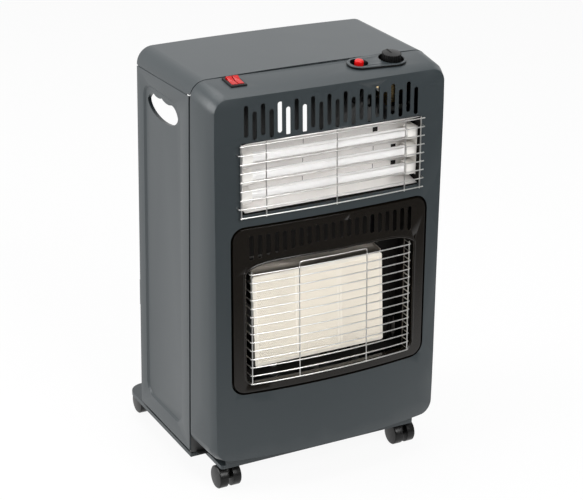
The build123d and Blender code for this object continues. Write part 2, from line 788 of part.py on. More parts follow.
def guard_arc(z, reach_half, stand):
    # bar of a guard, bowed like the front
    with BuildPart() as bar:
        with BuildLine() as route:
            ThreePointArc(*(guard_point(share * reach_half, z, stand) for share in (-1, 0, 1)))
        with BuildSketch(Plane(origin=route.line @ 0, z_dir=route.line % 0)):
            RegularPolygon(wire / 2, wire_sides)
        sweep(path=route.line)
    return bar.part


weld = (wire + cross_wire) / 2 + weld_gap       # between the centres of crossing wires
upper_rods = (-upper_guard_half, *upper_rod_places, upper_guard_half - last_rod_inset)
lower_bar_heights = [
    lower_bar_low + (lower_bar_high - lower_bar_low) * index / (lower_bar_count - 1)
    for index in range(lower_bar_count)
]
lower_bar_half = lower_guard_half + lower_bar_overhang

with BuildPart() as upper_guard:
    for z in upper_bar_heights:
        add(guard_arc(z, upper_guard_half + guard_overhang, upper_guard_stand))
    for x in upper_rods:
        low = guard_point(x, upper_bar_low - guard_overhang, upper_guard_stand - weld)
        high = guard_point(x, upper_bar_high + guard_overhang, upper_guard_stand - weld)
        add(wire_run([low, high], cross_wire, wire_bend, wire_sides))
    # feet through the front, at the ends of two bars
    for sign in (-1, 1):
        for z in upper_foot_heights:
            tip = guard_point(sign * upper_foot_x, z, upper_guard_stand + wire / 2)
            root = guard_point(sign * upper_foot_x, z, -foot_depth)
            add(wire_run([tip, root], wire, wire_bend, wire_sides))
finish(upper_guard, "upper_guard")

with BuildPart() as lower_guard:
    for z in lower_bar_heights:
        add(guard_arc(z, lower_bar_half, lower_guard_stand))
    for sign in (-1, 1):
        low = guard_point(sign * lower_guard_half, lower_bar_low - end_rod_low, lower_guard_stand - weld)
        high = guard_point(sign * lower_guard_half, lower_bar_high + end_rod_high, lower_guard_stand - weld)
        add(wire_run([low, high], cross_wire, wire_bend, wire_sides))
    hoop = [
        guard_point(-u_rod_half, lower_bar_low, lower_guard_stand - weld),
        guard_point(-u_rod_half, u_rod_top, lower_guard_stand - weld),
        guard_point(u_rod_half, u_rod_top, lower_guard_stand - weld),
        guard_point(u_rod_half, lower_bar_low, lower_guard_stand - weld),
    ]
    add(wire_run(hoop, cross_wire, wire_bend, wire_sides))
finish(lower_guard, "lower_guard")

# the ends of its bars, turned back into the window and joined by a rod on each side
with BuildPart() as lower_guard_ends:
    for sign in (-1, 1):
        for z in lower_bar_heights:
            tip = guard_point(sign * lower_bar_half, z, lower_guard_stand - wire / 2)
            root = guard_point(sign * lower_bar_half, z, lower_guard_stand - lower_return)
            add(wire_run([tip, root], wire, wire_bend, wire_sides))
        inside = lower_guard_stand - lower_return
        low = guard_point(sign * lower_bar_half, lower_bar_low - end_rod_low, inside)
        high = guard_point(sign * lower_bar_half, lower_bar_high + end_rod_high, inside)
        add(wire_run([low, high], cross_wire, wire_bend, wire_sides))
finish(lower_guard_ends, "lower_guard_ends")

# ---------------------------------------------------------------- burner
# sketched on the plaques' front face: across, up along the face, and out of it
tilt = radians(burner_tilt)
burner_normal = (0, -cos(tilt), sin(tilt))
burner_up = (0, sin(tilt), cos(tilt))
burner_face = Plane(
    origin=(0, forward(burner_face_reach), burner_centre_height), x_dir=(1, 0, 0), z_dir=burner_normal
)
plaque_field = plaque_count * plaque_width + (plaque_count - 1) * plaque_joint
plaque_pitch = plaque_width + plaque_joint
plaque_places = [(index - (plaque_count - 1) / 2) * plaque_pitch for index in range(plaque_count)]
box_width = plaque_field + 2 * burner_rim
box_height = plaque_height + 2 * burner_rim
chamber_height = plaque_height - 2 * plaque_seat
mixer_out = (burner_box_depth + sheet - plaque_thick) / 2 - burner_box_depth   # axis of the mixer tubes
mixer_top = -chamber_height / 2
mixer_low = -box_height / 2 - mixer_length


def burner_point(across, up, out):
    # place given in the burner's own directions
    return (
        across,
        forward(burner_face_reach) + up * sin(tilt) - out * cos(tilt),
        burner_centre_height + up * cos(tilt) + out * sin(tilt),
    )


with BuildPart() as burner_box:
    with BuildSketch(burner_face):
        Rectangle(box_width, box_height)
    extrude(amount=-burner_box_depth)
    corners = burner_box.edges().filter_by(lambda edge: abs(edge.length - burner_box_depth) < sheet / 2)
    fillet(corners, radius=burner_rim)
    with BuildSketch(burner_face):
        Rectangle(plaque_field + 2 * clearance, plaque_height + 2 * clearance)
    extrude(amount=-plaque_thick, mode=Mode.SUBTRACT)
    with BuildSketch(burner_face.offset(-plaque_thick)):
        Rectangle(plaque_field - 2 * plaque_seat, chamber_height)
    extrude(amount=plaque_thick + sheet - burner_box_depth, mode=Mode.SUBTRACT)
    # the mixer tubes enter from below
    entry = Plane(origin=burner_point(0, mixer_top + sheet, mixer_out), x_dir=(1, 0, 0), z_dir=burner_up)
    with BuildSketch(entry):
        with Locations([(x, 0) for x in plaque_places]):
            Circle(mixer_radius + running_clearance)
    extrude(amount=-box_height, mode=Mode.SUBTRACT)
finish(burner_box, "burner_box")

with BuildPart() as ceramic_plaques:
    for x in plaque_places:
        with BuildSketch(burner_face):
            with Locations((x, 0)):
                Rectangle(plaque_width, plaque_height)
        extrude(amount=-plaque_thick)
    fronts = ceramic_plaques.faces().filter_by(burner_face).group_by(SortBy.AREA)[-1]
    chamfer(fronts.edges(), length=plaque_edge)
finish(ceramic_plaques, "ceramic_plaques")

with BuildPart() as plaque_frame:
    with BuildSketch(burner_face.offset(-frame_skirt)):
        RectangleRounded(
            box_width + 2 * (sheet + clearance), box_height + 2 * (sheet + clearance), burner_rim + sheet
        )
    extrude(amount=frame_skirt + sheet)
    with BuildSketch(burner_face.offset(-frame_skirt)):
        RectangleRounded(box_width + 2 * clearance, box_height + 2 * clearance, burner_rim)
    extrude(amount=frame_skirt, mode=Mode.SUBTRACT)
    with BuildSketch(burner_face):
        Rectangle(plaque_field - 2 * frame_lip, plaque_height - 2 * frame_lip)
    extrude(amount=sheet, mode=Mode.SUBTRACT)
finish(plaque_frame, "plaque_frame")

# the plate above the plaques rises to the partition and then stands up against it
shield_start = burner_point(0, box_height / 2 + sheet + 3 * clearance, 0)[2] + sheet / 2
shield_depth = burner_face_reach - box_height / 2 * sin(tilt)
shield_rear = shield_start + shield_depth * sin(radians(shield_rise))
shield_half = box_width / 2 - shield_beside
shield_top = shield_rear + shield_turn

with BuildPart() as heat_shield:
    with BuildSketch(side_plane(-shield_half)):
        with BuildLine():
            Polyline((-shield_depth, shield_start), (sheet / 2, shield_rear), (sheet / 2, shield_top))
        trace(line_width=sheet)
    extrude(amount=2 * shield_half)
    # upturned ends
    for x in (-shield_half, shield_half - sheet):
        with BuildSketch(side_plane(x)):
            with BuildLine():
                Polyline(
                    (-shield_depth, shield_start),
                    (0, shield_rear),
                    (0, shield_rear + shield_flange),
                    (-shield_depth, shield_start + shield_flange),
                    close=True,
                )
            make_face()
        extrude(amount=sheet)
finish(heat_shield, "heat_shield")

# black sheets round the burner, side by side with small joints
with BuildPart() as burner_liner:
    block((-liner_half, forward(liner_reach), liner_floor - sheet), (liner_half, behind(sheet), liner_floor))
    mixer_holes = Plane(origin=burner_point(0, mixer_top, mixer_out), x_dir=(1, 0, 0), z_dir=burner_up)
    with BuildSketch(mixer_holes):
        with Locations([(x, 0) for x in plaque_places]):
            Circle(mixer_radius + 2 * clearance)
    extrude(amount=-box_height, mode=Mode.SUBTRACT)
    wall_low, back_low = liner_floor + clearance, pilot_low - pilot_drop + pilot_pipe_radius + 2 * clearance
    for sign in (-1, 1):
        inner, outer = sign * (liner_half - sheet), sign * liner_half
        left, right = min(inner, outer), max(inner, outer)
        block((left, forward(liner_reach), wall_low), (right, behind(sheet), liner_top))
        inner, outer = sign * (box_width / 2 + sheet + clearance), sign * (liner_half - sheet - clearance)
        left, right = min(inner, outer), max(inner, outer)
        block(
            (left, forward(liner_back_reach), back_low),
            (right, forward(liner_back_reach - sheet), liner_top),
        )
    top_low, top_half = shield_rear + liner_back_above, box_width / 2
    block((-top_half, behind(0), top_low), (top_half, behind(sheet), liner_top))
finish(burner_liner, "burner_liner")

# three flared tubes that draw in air with the gas
with BuildPart() as mixer_tube:
    with BuildSketch(Plane.XZ):
        with BuildLine():
            Polyline(
                (mixer_flare - sheet, mixer_low),
                (mixer_flare, mixer_low),
                (mixer_radius, mixer_low + mixer_cone),
                (mixer_radius, mixer_top),
                (mixer_radius - sheet, mixer_top),
                (mixer_radius - sheet, mixer_low + mixer_cone),
                close=True,
            )
        make_face()
    revolve(axis=Axis.Z)

with BuildPart() as mixer_tubes:
    for x in plaque_places:
        seat = Plane(origin=burner_point(x, 0, mixer_out), x_dir=(1, 0, 0), z_dir=burner_up)
        add(mixer_tube.part.moved(seat.location))
finish(mixer_tubes, "mixer_tubes")

manifold_up = mixer_low - injector_height - manifold_radius
_, manifold_y, manifold_z = burner_point(0, manifold_up, mixer_out)

with BuildPart() as gas_manifold:
    with BuildSketch(Plane.YZ.offset(-manifold_half)):
        with Locations((manifold_y, manifold_z)):
            Circle(manifold_radius)
    extrude(amount=2 * manifold_half)
    with BuildSketch(Plane.YZ.offset(sheet - manifold_half)):
        with Locations((manifold_y, manifold_z)):
            Circle(manifold_radius - 1.5 * sheet)
    extrude(amount=2 * manifold_half - sheet, mode=Mode.SUBTRACT)
finish(gas_manifold, "gas_manifold")

with BuildPart() as injectors:
    for x in plaque_places:
        seat = Plane(origin=burner_point(x, manifold_up, mixer_out), x_dir=(1, 0, 0), z_dir=burner_up)
        with BuildSketch(seat):
            RegularPolygon(injector_radius, 6)
        extrude(amount=manifold_radius + injector_hex)
        with BuildSketch(seat.offset(manifold_radius + injector_hex)):
            Circle(injector_radius / 2)
        extrude(amount=injector_height - injector_hex + injector_entry, taper=injector_taper)
    add(gas_manifold.part, mode=Mode.SUBTRACT)
    with BuildSketch(Plane.YZ.offset(-manifold_half)):
        with Locations((manifold_y, manifold_z)):
            Circle(manifold_radius - sheet)
    extrude(amount=2 * manifold_half, mode=Mode.SUBTRACT)
finish(injectors, "injectors")

# angle brackets from the partition to the burner's sides and under the manifold
box_side = box_width / 2
with BuildPart() as burner_brackets:
    for sign in (-1, 1):
        inner, outer = sign * box_side, sign * (box_side + sheet)
        foot = sign * (box_side + bracket_foot)
        low, high = burner_centre_height - bracket_height / 2, burner_centre_height + bracket_height / 2
        block((min(inner, outer), forward(bracket_reach), low), (max(inner, outer), behind(sheet), high))
        block((min(inner, foot), behind(0), low), (max(inner, foot), behind(sheet), high))
        inner, outer = sign * cradle_inner, sign * cradle_outer
        top = manifold_z - manifold_radius - clearance / 2
        left, right = min(inner, outer), max(inner, outer)
        block((left, manifold_y - manifold_radius, top - sheet), (right, behind(sheet), top))
        block((left, behind(0), top - cradle_drop), (right, behind(sheet), top))
finish(burner_brackets, "burner_brackets")

# ---------------------------------------------------------------- quartz heater
housing_half = window_width / 2 + housing_margin
tube_middle = tube_shift
caps_half = tube_length / 2
bracket_left = tube_middle - caps_half
bracket_right = tube_middle + caps_half


def housing_outline(inset):
    # side view of the housing: sloped roof, upright back, open to the front
    top = window_top + housing_margin - inset
    low = window_bottom - housing_margin + inset
    with BuildSketch() as outline:
        with BuildLine():
            Polyline(
                (-front_most, top + (front_most - roof_start) * roof_slope),
                (-roof_end, top - (roof_start - roof_end) * roof_slope),
                (-housing_back - inset, top - (roof_start - roof_end) * roof_slope),
                (-housing_back - inset, low),
                (-front_most, low),
                close=True,
            )
        make_face()
    return outline.sketch


with BuildPart() as heater_housing:
    with BuildSketch(side_plane(-housing_half)):
        add(housing_outline(0))
    extrude(amount=2 * housing_half)
    with BuildSketch(side_plane(-housing_half + sheet)):
        add(housing_outline(sheet))
    extrude(amount=2 * housing_half - 2 * sheet, mode=Mode.SUBTRACT)
    add(face_slab(sheet + clearance, 2 * front_most), mode=Mode.INTERSECT)
finish(heater_housing, "heater_housing")

# polished reflector: a lip above, a lip below, and a ridge between each two tubes
reflector_line = [(-reflector_lip, window_top - lip_drop), (-reflector_reach - lip_step, reflector_top)]
reflector_line.append((-reflector_reach, reflector_top - lip_step))
for upper, lower in zip(tube_heights, tube_heights[1:]):
    ridge = (upper + lower) / 2
    reflector_line += [
        (-reflector_reach, ridge + ridge_half),
        (-reflector_reach - ridge_height, ridge),
        (-reflector_reach, ridge - ridge_half),
    ]
reflector_line += [
    (-reflector_reach, reflector_low + lip_step),
    (-reflector_reach - lip_step, reflector_low),
    (-reflector_lip, window_bottom + lip_drop),
]

with BuildPart() as reflector:
    with BuildSketch(side_plane(bracket_left + clearance)):
        with BuildLine():
            Polyline(*reflector_line)
        trace(line_width=reflector_sheet)
    extrude(amount=bracket_right - bracket_left - 2 * clearance)
    add(face_slab(sheet + clearance, 2 * front_most), mode=Mode.INTERSECT)
finish(reflector, "reflector")

with BuildPart() as tube_brackets:
    low, high = tube_heights[-1] - bracket_end, tube_heights[0] + bracket_end
    front, back = forward(tube_reach + cap_size / 2), forward(housing_back + sheet)
    for left in (bracket_left - sheet, bracket_right):
        block((left, front, low), (left + sheet, back, high))
finish(tube_brackets, "tube_brackets")

with BuildPart() as ceramic_caps:
    for z in tube_heights:
        for start, run in ((bracket_left, cap_length), (bracket_right, -cap_length)):
            with BuildSketch(Plane.YZ.offset(start)):
                with Locations((forward(tube_reach), z)):
                    RectangleRounded(cap_size, cap_size, cap_corner)
            extrude(amount=run)
    for z in tube_heights:
        with BuildSketch(Plane.YZ.offset(bracket_left + cap_floor)):
            with Locations((forward(tube_reach), z)):
                Circle(tube_radius + running_clearance)
        extrude(amount=bracket_right - bracket_left - 2 * cap_floor, mode=Mode.SUBTRACT)
finish(ceramic_caps, "ceramic_caps")

with BuildPart() as quartz_tubes:
    for z in tube_heights:
        with BuildSketch(Plane.YZ.offset(bracket_left + cap_floor)):
            with Locations((forward(tube_reach), z)):
                Circle(tube_radius)
                Circle(tube_radius - tube_wall, mode=Mode.SUBTRACT)
        extrude(amount=bracket_right - bracket_left - 2 * cap_floor)
finish(quartz_tubes, "quartz_tubes")

with BuildPart() as heating_coils:
    for z in tube_heights:
        with BuildSketch(Plane.YZ.offset(bracket_left + cap_floor)):
            with Locations((forward(tube_reach), z)):
                Circle(tube_radius - tube_wall - clearance)
                Circle(coil_bore, mode=Mode.SUBTRACT)
        extrude(amount=bracket_right - bracket_left - 2 * cap_floor)
finish(heating_coils, "heating_coils")

terminal_rear = forward(housing_back - terminal_deep)
with BuildPart() as terminal_block:
    block(
        (terminal_x, forward(housing_back), terminal_height - terminal_tall / 2),
        (terminal_x + terminal_wide, terminal_rear, terminal_height + terminal_tall / 2),
    )
    fillet(terminal_block.edges().filter_by(Axis.Z), radius=sheet)
    with Locations(Plane(origin=(0, terminal_rear, terminal_height), z_dir=(0, 1, 0))):
        with Locations([(-terminal_x - terminal_wide * share, 0) for share in terminal_shares]):
            Hole(screw_radius, depth=terminal_deep / 2)
finish(terminal_block, "terminal_block")

# ---------------------------------------------------------------- controls on the top flange
plate_top = escutcheon_rise
well_floor = plate_top - well_depth


with BuildPart() as control_escutcheon:
    with BuildSketch(flange_plane):
        with Locations((button_x, 0)):
            Circle(escutcheon_small)
        with Locations((knob_x, 0)):
            Circle(escutcheon_large)
        make_hull()
    extrude(amount=plate_top)
    chamfer(control_escutcheon.faces().filter_by(flange_plane).sort_by(Axis.Z)[-1].edges(), length=sheet)
    with BuildSketch(flange_plane.offset(well_floor - sheet)):
        with Locations((button_x, 0)):
            Circle(button_well / 2 + sheet)
        with Locations((knob_x, 0)):
            Circle(knob_well / 2 + sheet)
    extrude(amount=sheet - well_floor)
    with BuildSketch(flange_plane.offset(well_floor)):
        with Locations((button_x, 0)):
            Circle(button_well / 2)
        with Locations((knob_x, 0)):
            Circle(knob_well / 2)
    extrude(amount=well_depth, mode=Mode.SUBTRACT)
    with BuildSketch(flange_plane.offset(well_floor - sheet)):
        with Locations((button_x, 0)):
            Circle(button_radius + clearance)
        with Locations((knob_x, 0)):
            Circle(spindle_radius + clearance)
    extrude(amount=sheet, mode=Mode.SUBTRACT)
finish(control_escutcheon, "control_escutcheon")

with BuildPart() as ignition_button:
    with BuildSketch(flange_plane.offset(-button_tail)):
        with Locations((button_x, 0)):
            Circle(button_radius)
    extrude(amount=button_tail + plate_top + button_stand)
    fillet(ignition_button.edges().sort_by(Axis.Z)[-1], radius=button_dome)
finish(ignition_button, "ignition_button")

with BuildPart() as piezo_igniter:
    with BuildSketch(flange_plane.offset(well_floor - sheet - piezo_length)):
        with Locations((button_x, 0)):
            Circle(piezo_radius)
    extrude(amount=piezo_length)
    with BuildSketch(flange_plane.offset(-button_tail - button_travel - clearance)):
        with Locations((button_x, 0)):
            Circle(button_radius + clearance)
    extrude(amount=button_tail + button_travel + clearance, mode=Mode.SUBTRACT)
    chamfer(piezo_igniter.edges().sort_by(Axis.Z)[0], length=sheet)
finish(piezo_igniter, "piezo_igniter")

# ribbed knob on the valve's spindle; pressing it moves both down
knob_low = well_floor + knob_travel + clearance
with BuildPart() as control_knob:
    with BuildSketch(flange_plane.offset(knob_low)):
        with Locations((knob_x, 0)):
            Circle(knob_radius)
            with PolarLocations(knob_radius, knob_ribs):
                Circle(knob_groove, mode=Mode.SUBTRACT)
    extrude(amount=knob_height)
    chamfer(control_knob.faces().filter_by(flange_plane).sort_by(Axis.Z)[-1].edges(), length=knob_groove / 2)
    # pointer ridge
    with BuildSketch(flange_plane.offset(knob_low + knob_height)):
        with Locations((knob_x, knob_radius / 2)):
            Rectangle(pointer_width, knob_radius - 2 * knob_groove)
    extrude(amount=pointer_rise)
    with BuildSketch(flange_plane.offset(knob_low)):
        with Locations((knob_x, 0)):
            Circle(spindle_radius + running_clearance)
    extrude(amount=knob_height - knob_crown, mode=Mode.SUBTRACT)
finish(control_knob, "control_knob")

spindle_low = well_floor - sheet - spindle_depth
with BuildPart() as knob_spindle:
    with BuildSketch(flange_plane.offset(spindle_low)):
        with Locations((knob_x, 0)):
            Circle(spindle_radius)
    extrude(amount=knob_low + knob_height - knob_crown - spindle_low)
finish(knob_spindle, "knob_spindle")

# ---------------------------------------------------------------- rocker switch for the tubes
rocker_pivot = flange_plane.offset(rocker_pivot_height)
rocker_gap = rocker_width + rocker_rib + 2 * clearance      # between the middles of the two rockers
rocker_hole_width = 2 * rocker_width + rocker_rib + 4 * clearance
rocker_hole_depth = rocker_depth + 2 * rocker_swing

with BuildPart() as rocker_frame:
    with BuildSketch(flange_plane):
        with Locations((rocker_x, rocker_offset)):
            RectangleRounded(rocker_frame_width, rocker_frame_depth, sheet)
    extrude(amount=rocker_bezel)
    chamfer(rocker_frame.faces().filter_by(flange_plane).sort_by(Axis.Z)[-1].edges(), length=sheet)
    with BuildSketch(flange_plane.offset(-rocker_body)):
        with Locations((rocker_x, rocker_offset)):
            Rectangle(rocker_body_width, rocker_body_depth)
    extrude(amount=rocker_body)
    with BuildSketch(flange_plane.offset(2 * sheet - rocker_body)):
        for sign in (-1, 1):
            with Locations((rocker_x + sign * rocker_gap / 2, rocker_offset)):
                Rectangle(rocker_width + 2 * clearance, rocker_hole_depth)
    extrude(amount=rocker_body + rocker_bezel, mode=Mode.SUBTRACT)
    # the middle rib stays below the frame
    with BuildSketch(flange_plane.offset(rocker_pivot_height + 2 * rocker_pin)):
        with Locations((rocker_x, rocker_offset)):
            Rectangle(rocker_hole_width - 2 * sheet, rocker_hole_depth)
    extrude(amount=rocker_bezel + rocker_body, mode=Mode.SUBTRACT)
    # holes for the rockers' pins
    middle = rocker_pivot.from_local_coords((rocker_x, rocker_offset, 0))
    with BuildSketch(Plane(origin=middle, x_dir=(0, 1, 0), z_dir=(1, 0, 0))):
        Circle(rocker_pin + running_clearance)
    extrude(amount=rocker_hole_width / 2 + rocker_pin_length, both=True, mode=Mode.SUBTRACT)
    # blades for the leads
    with BuildSketch(flange_plane.offset(-rocker_body - blade_length)):
        with Locations((rocker_x, rocker_offset)):
            with GridLocations(rocker_gap, rocker_depth / 2, 2, 2):
                Rectangle(sheet, blade_width)
    extrude(amount=blade_length)
finish(rocker_frame, "rocker_frame")


def rocker(x):
    # V-topped rocker with a pin on each side, tipped to its rest position
    pivot = rocker_pivot.from_local_coords((x, rocker_offset, 0))
    side = Plane(origin=pivot, x_dir=flange_plane.y_dir, z_dir=(1, 0, 0))
    top = rocker_bezel - rocker_pivot_height
    with BuildPart() as form:
        with BuildSketch(side):
            with BuildLine():
                Polyline(
                    (-rocker_depth / 2, 0),
                    (-rocker_depth / 2, top + rocker_stand),
                    (0, top + rocker_stand - rocker_dip),
                    (rocker_depth / 2, top + rocker_stand),
                    (rocker_depth / 2, 0),
                    (rocker_depth / 6, -rocker_keel),
                    (-rocker_depth / 6, -rocker_keel),
                    close=True,
                )
            make_face()
        extrude(amount=rocker_width / 2, both=True)
        fillet(form.faces().sort_by(Axis.Z)[-2:].edges().filter_by(Axis.X), radius=rocker_round)
        with BuildSketch(side):
            Circle(rocker_pin)
        extrude(amount=rocker_width / 2 + clearance + rocker_pin_length, both=True)
    return form.part.rotate(Axis(pivot, (1, 0, 0)), rocker_travel)


with BuildPart() as left_rocker:
    add(rocker(rocker_x - rocker_gap / 2))
finish(left_rocker, "left_rocker")

with BuildPart() as right_rocker:
    add(rocker(rocker_x + rocker_gap / 2))
finish(right_rocker, "right_rocker")

# ---------------------------------------------------------------- gas valve, nozzle and pipes
valve_top = flange_plane.offset(well_floor - sheet)
_, valve_y, valve_z = valve_top.from_local_coords((knob_x, 0, -valve_neck))

with BuildPart() as gas_valve:
    # neck up to the well, with the spindle's bore
    with BuildSketch(flange_plane.offset(well_floor - sheet - valve_neck - valve_radius)):
        with Locations((knob_x, 0)):
            Circle(neck_radius)
    extrude(amount=valve_neck + valve_radius)
    # body
    with BuildSketch(Plane.XY.offset(valve_height)):
        with Locations((knob_x, valve_y)):
            Circle(valve_radius)
    extrude(amount=valve_z - valve_height)
    chamfer(gas_valve.edges().filter_by(GeomType.CIRCLE).group_by(Axis.Z)[0], length=2 * sheet)
    # safety magnet's housing at the right, outlet below, inlet boss at the rear
    with BuildSketch(Plane.YZ.offset(knob_x)):
        with Locations((valve_y, magnet_height)):
            RegularPolygon(magnet_radius, 6)
    extrude(amount=magnet_reach)
    with BuildSketch(Plane.XY.offset(valve_height - outlet_length)):
        with Locations((knob_x, valve_y)):
            RegularPolygon(outlet_radius, 6)
    extrude(amount=outlet_length + sheet)
    with BuildSketch(facing(forward(boss_depth))):
        with Locations((knob_x, nozzle_height)):
            Circle(magnet_radius)
    extrude(amount=control_reach - boss_depth)
    with BuildSketch(Plane.YZ.offset(knob_x)):
        with Locations((valve_y, pilot_port_height)):
            Circle(pilot_port_radius)
    extrude(amount=-valve_radius - pilot_port_length)
    with BuildSketch(flange_plane.offset(spindle_low - knob_travel - clearance)):
        with Locations((knob_x, 0)):
            Circle(spindle_radius + running_clearance)
    extrude(amount=spindle_depth + knob_travel + sheet, mode=Mode.SUBTRACT)
finish(gas_valve, "gas_valve")

with BuildPart() as hose_nozzle:
    with BuildSketch(side_plane(knob_x)):
        with BuildLine():
            Polyline(
                (-boss_depth, nozzle_height),
                (-boss_depth, nozzle_height + nozzle_collar),
                (-boss_depth + nozzle_collar, nozzle_height + nozzle_collar),
                (-boss_depth + nozzle_collar, nozzle_height + nozzle_radius - sheet),
                (nozzle_reach - 3 * barb_pitch, nozzle_height + nozzle_radius - sheet),
                (nozzle_reach - 3 * barb_pitch, nozzle_height + nozzle_radius),
                (nozzle_reach - 2 * barb_pitch, nozzle_height + nozzle_radius - sheet),
                (nozzle_reach - 2 * barb_pitch, nozzle_height + nozzle_radius),
                (nozzle_reach - barb_pitch, nozzle_height + nozzle_radius - sheet),
                (nozzle_reach - barb_pitch, nozzle_height + nozzle_radius),
                (nozzle_reach, nozzle_height + nozzle_radius - sheet),
                (nozzle_reach, nozzle_height),
                close=True,
            )
        make_face()
    revolve(axis=Axis((knob_x, seam_y, nozzle_height), (0, 1, 0)))
    with BuildSketch(facing(behind(nozzle_reach))):
        with Locations((knob_x, nozzle_height)):
            Circle(nozzle_bore)
    extrude(amount=nozzle_reach + boss_depth - sheet, mode=Mode.SUBTRACT)
finish(hose_nozzle, "hose_nozzle")

main_pipe_route = [
    (knob_x, valve_y, valve_height - outlet_length),
    (knob_x, valve_y, cross_pipe_height),
    (pipe_lane, forward(pipe_depth), cross_pipe_height),
    (pipe_lane, forward(pipe_depth), manifold_z),
    (pipe_lane, manifold_y, manifold_z),
    (manifold_half, manifold_y, manifold_z),
]
with BuildPart() as main_gas_pipe:
    add(wire_run(main_pipe_route, 2 * pipe_radius, pipe_bend, pipe_sides))
finish(main_gas_pipe, "main_gas_pipe")

# pilot flame, its sensor and its spark, on a small plate beside the plaques
pilot_x, sensor_x, spark_x = (box_side + beside for beside in (pilot_beside, sensor_beside, spark_beside))
stand_y = forward(stand_reach)
pilot_y = stand_y - pilot_radius + pilot_bite
sensor_y = stand_y - sensor_radius
spark_y = stand_y - spark_radius

with BuildPart() as pilot_burner:
    block(
        (box_side + clearance, stand_y, pilot_low + sheet),
        (spark_x + 2 * spark_radius, stand_y + sheet, pilot_low + stand_tall),
    )
    with BuildSketch(Plane.XY.offset(pilot_low)):
        with Locations((pilot_x, pilot_y)):
            Circle(pilot_radius)
    extrude(amount=pilot_tall)
    with BuildSketch(Plane.YZ.offset(pilot_x - 2 * pilot_radius)):
        with Locations((pilot_y, pilot_low + pilot_tall - pilot_radius / 2)):
            Circle(pilot_radius / 2)
    extrude(amount=2 * pilot_radius)
finish(pilot_burner, "pilot_burner")

pilot_route = [
    (knob_x - valve_radius - pilot_port_length, valve_y, pilot_port_height),
    (pilot_drop_x, valve_y, pilot_port_height),
    (pilot_drop_x, valve_y, pilot_turn_height),
    (pilot_drop_x, forward(pipe_depth), pilot_turn_height),
    (pilot_drop_x, forward(pipe_depth), pilot_cross_height),
    (pilot_lane, forward(pipe_depth), pilot_cross_height),
    (pilot_lane, forward(pipe_depth), pilot_low - pilot_drop),
    (pilot_x, pilot_y, pilot_low - pilot_drop),
    (pilot_x, pilot_y, pilot_low),
]
with BuildPart() as pilot_pipe:
    add(wire_run(pilot_route, 2 * pilot_pipe_radius, lead_bend, lead_sides))
finish(pilot_pipe, "pilot_pipe")

magnet_end = knob_x + magnet_reach
sensor_route = [
    (sensor_x, sensor_y, pilot_low + sheet),
    (sensor_x, sensor_y, pilot_low - sensor_drop),
    (sensor_lane, forward(lead_depth), pilot_low - sensor_drop),
    (sensor_lane, forward(lead_depth), magnet_height),
    (magnet_end + sensor_loop, forward(lead_depth), magnet_height),
    (magnet_end + sensor_loop, valve_y, magnet_height),
    (magnet_end, valve_y, magnet_height),
]
with BuildPart() as thermocouple:
    with BuildSketch(Plane.XY.offset(pilot_low + sheet)):
        with Locations((sensor_x, sensor_y)):
            Circle(sensor_radius)
    extrude(amount=sensor_tall)
    add(wire_run(sensor_route, 2 * lead_radius, lead_bend, lead_sides))
finish(thermocouple, "thermocouple")

with BuildPart() as spark_electrode:
    with BuildSketch(Plane.XY.offset(pilot_low)):
        with Locations((spark_x, spark_y)):
            Circle(spark_radius)
    extrude(amount=spark_tall)
    with BuildSketch(Plane.XY.offset(pilot_low + spark_tall)):
        with Locations((spark_x, spark_y)):
            Circle(spark_wire)
    extrude(amount=spark_tip)
finish(spark_electrode, "spark_electrode")

piezo_x, piezo_y, piezo_z = flange_plane.from_local_coords((button_x, 0, well_floor - sheet - piezo_length))
spark_route = [
    (piezo_x, piezo_y, piezo_z),
    (piezo_x, piezo_y, piezo_z - spark_drop),
    (piezo_x, forward(lead_depth), piezo_z - spark_drop),
    (spark_lane, forward(lead_depth), piezo_z - spark_drop),
    (spark_lane, forward(lead_depth), liner_floor + spark_over_floor),
    (spark_x, spark_y, liner_floor + spark_over_floor),
    (spark_x, spark_y, pilot_low),
]
with BuildPart() as spark_lead:
    add(wire_run(spark_route, 2 * lead_radius, spark_bend, lead_sides))
    add(piezo_igniter.part, mode=Mode.SUBTRACT)
finish(spark_lead, "spark_lead")

blade_tips = (rocker_x, rocker_offset, -rocker_body - blade_length)
switch_x, switch_y, switch_z = flange_plane.from_local_coords(blade_tips)
leads_route = [
    (switch_x, switch_y, switch_z),
    (switch_x, switch_y, switch_z - leads_drop),
    (switch_x, forward(leads_depth), switch_z - 2 * leads_drop),
    (switch_x, forward(leads_depth), terminal_height),
    (terminal_x, forward(leads_depth), terminal_height),
]
with BuildPart() as heater_leads:
    add(wire_run(leads_route, 2 * leads_radius, lead_bend, pipe_sides))
finish(heater_leads, "heater_leads")

# ---------------------------------------------------------------- small fittings
with BuildPart() as tilt_switch:
    block(
        (tilt_x - tilt_wide / 2, forward(tilt_reach + tilt_wide), front_bottom + sheet),
        (tilt_x + tilt_wide / 2, forward(tilt_reach), front_bottom + sheet + tilt_tall),
    )
    fillet(tilt_switch.edges().filter_by(Axis.Z), radius=2 * sheet)
    with BuildSketch(Plane.XY.offset(front_bottom + sheet + tilt_tall)):
        with Locations((tilt_x, forward(tilt_reach + tilt_wide / 2))):
            Circle(tilt_wide / 3)
    extrude(amount=2 * sheet)
finish(tilt_switch, "tilt_switch")

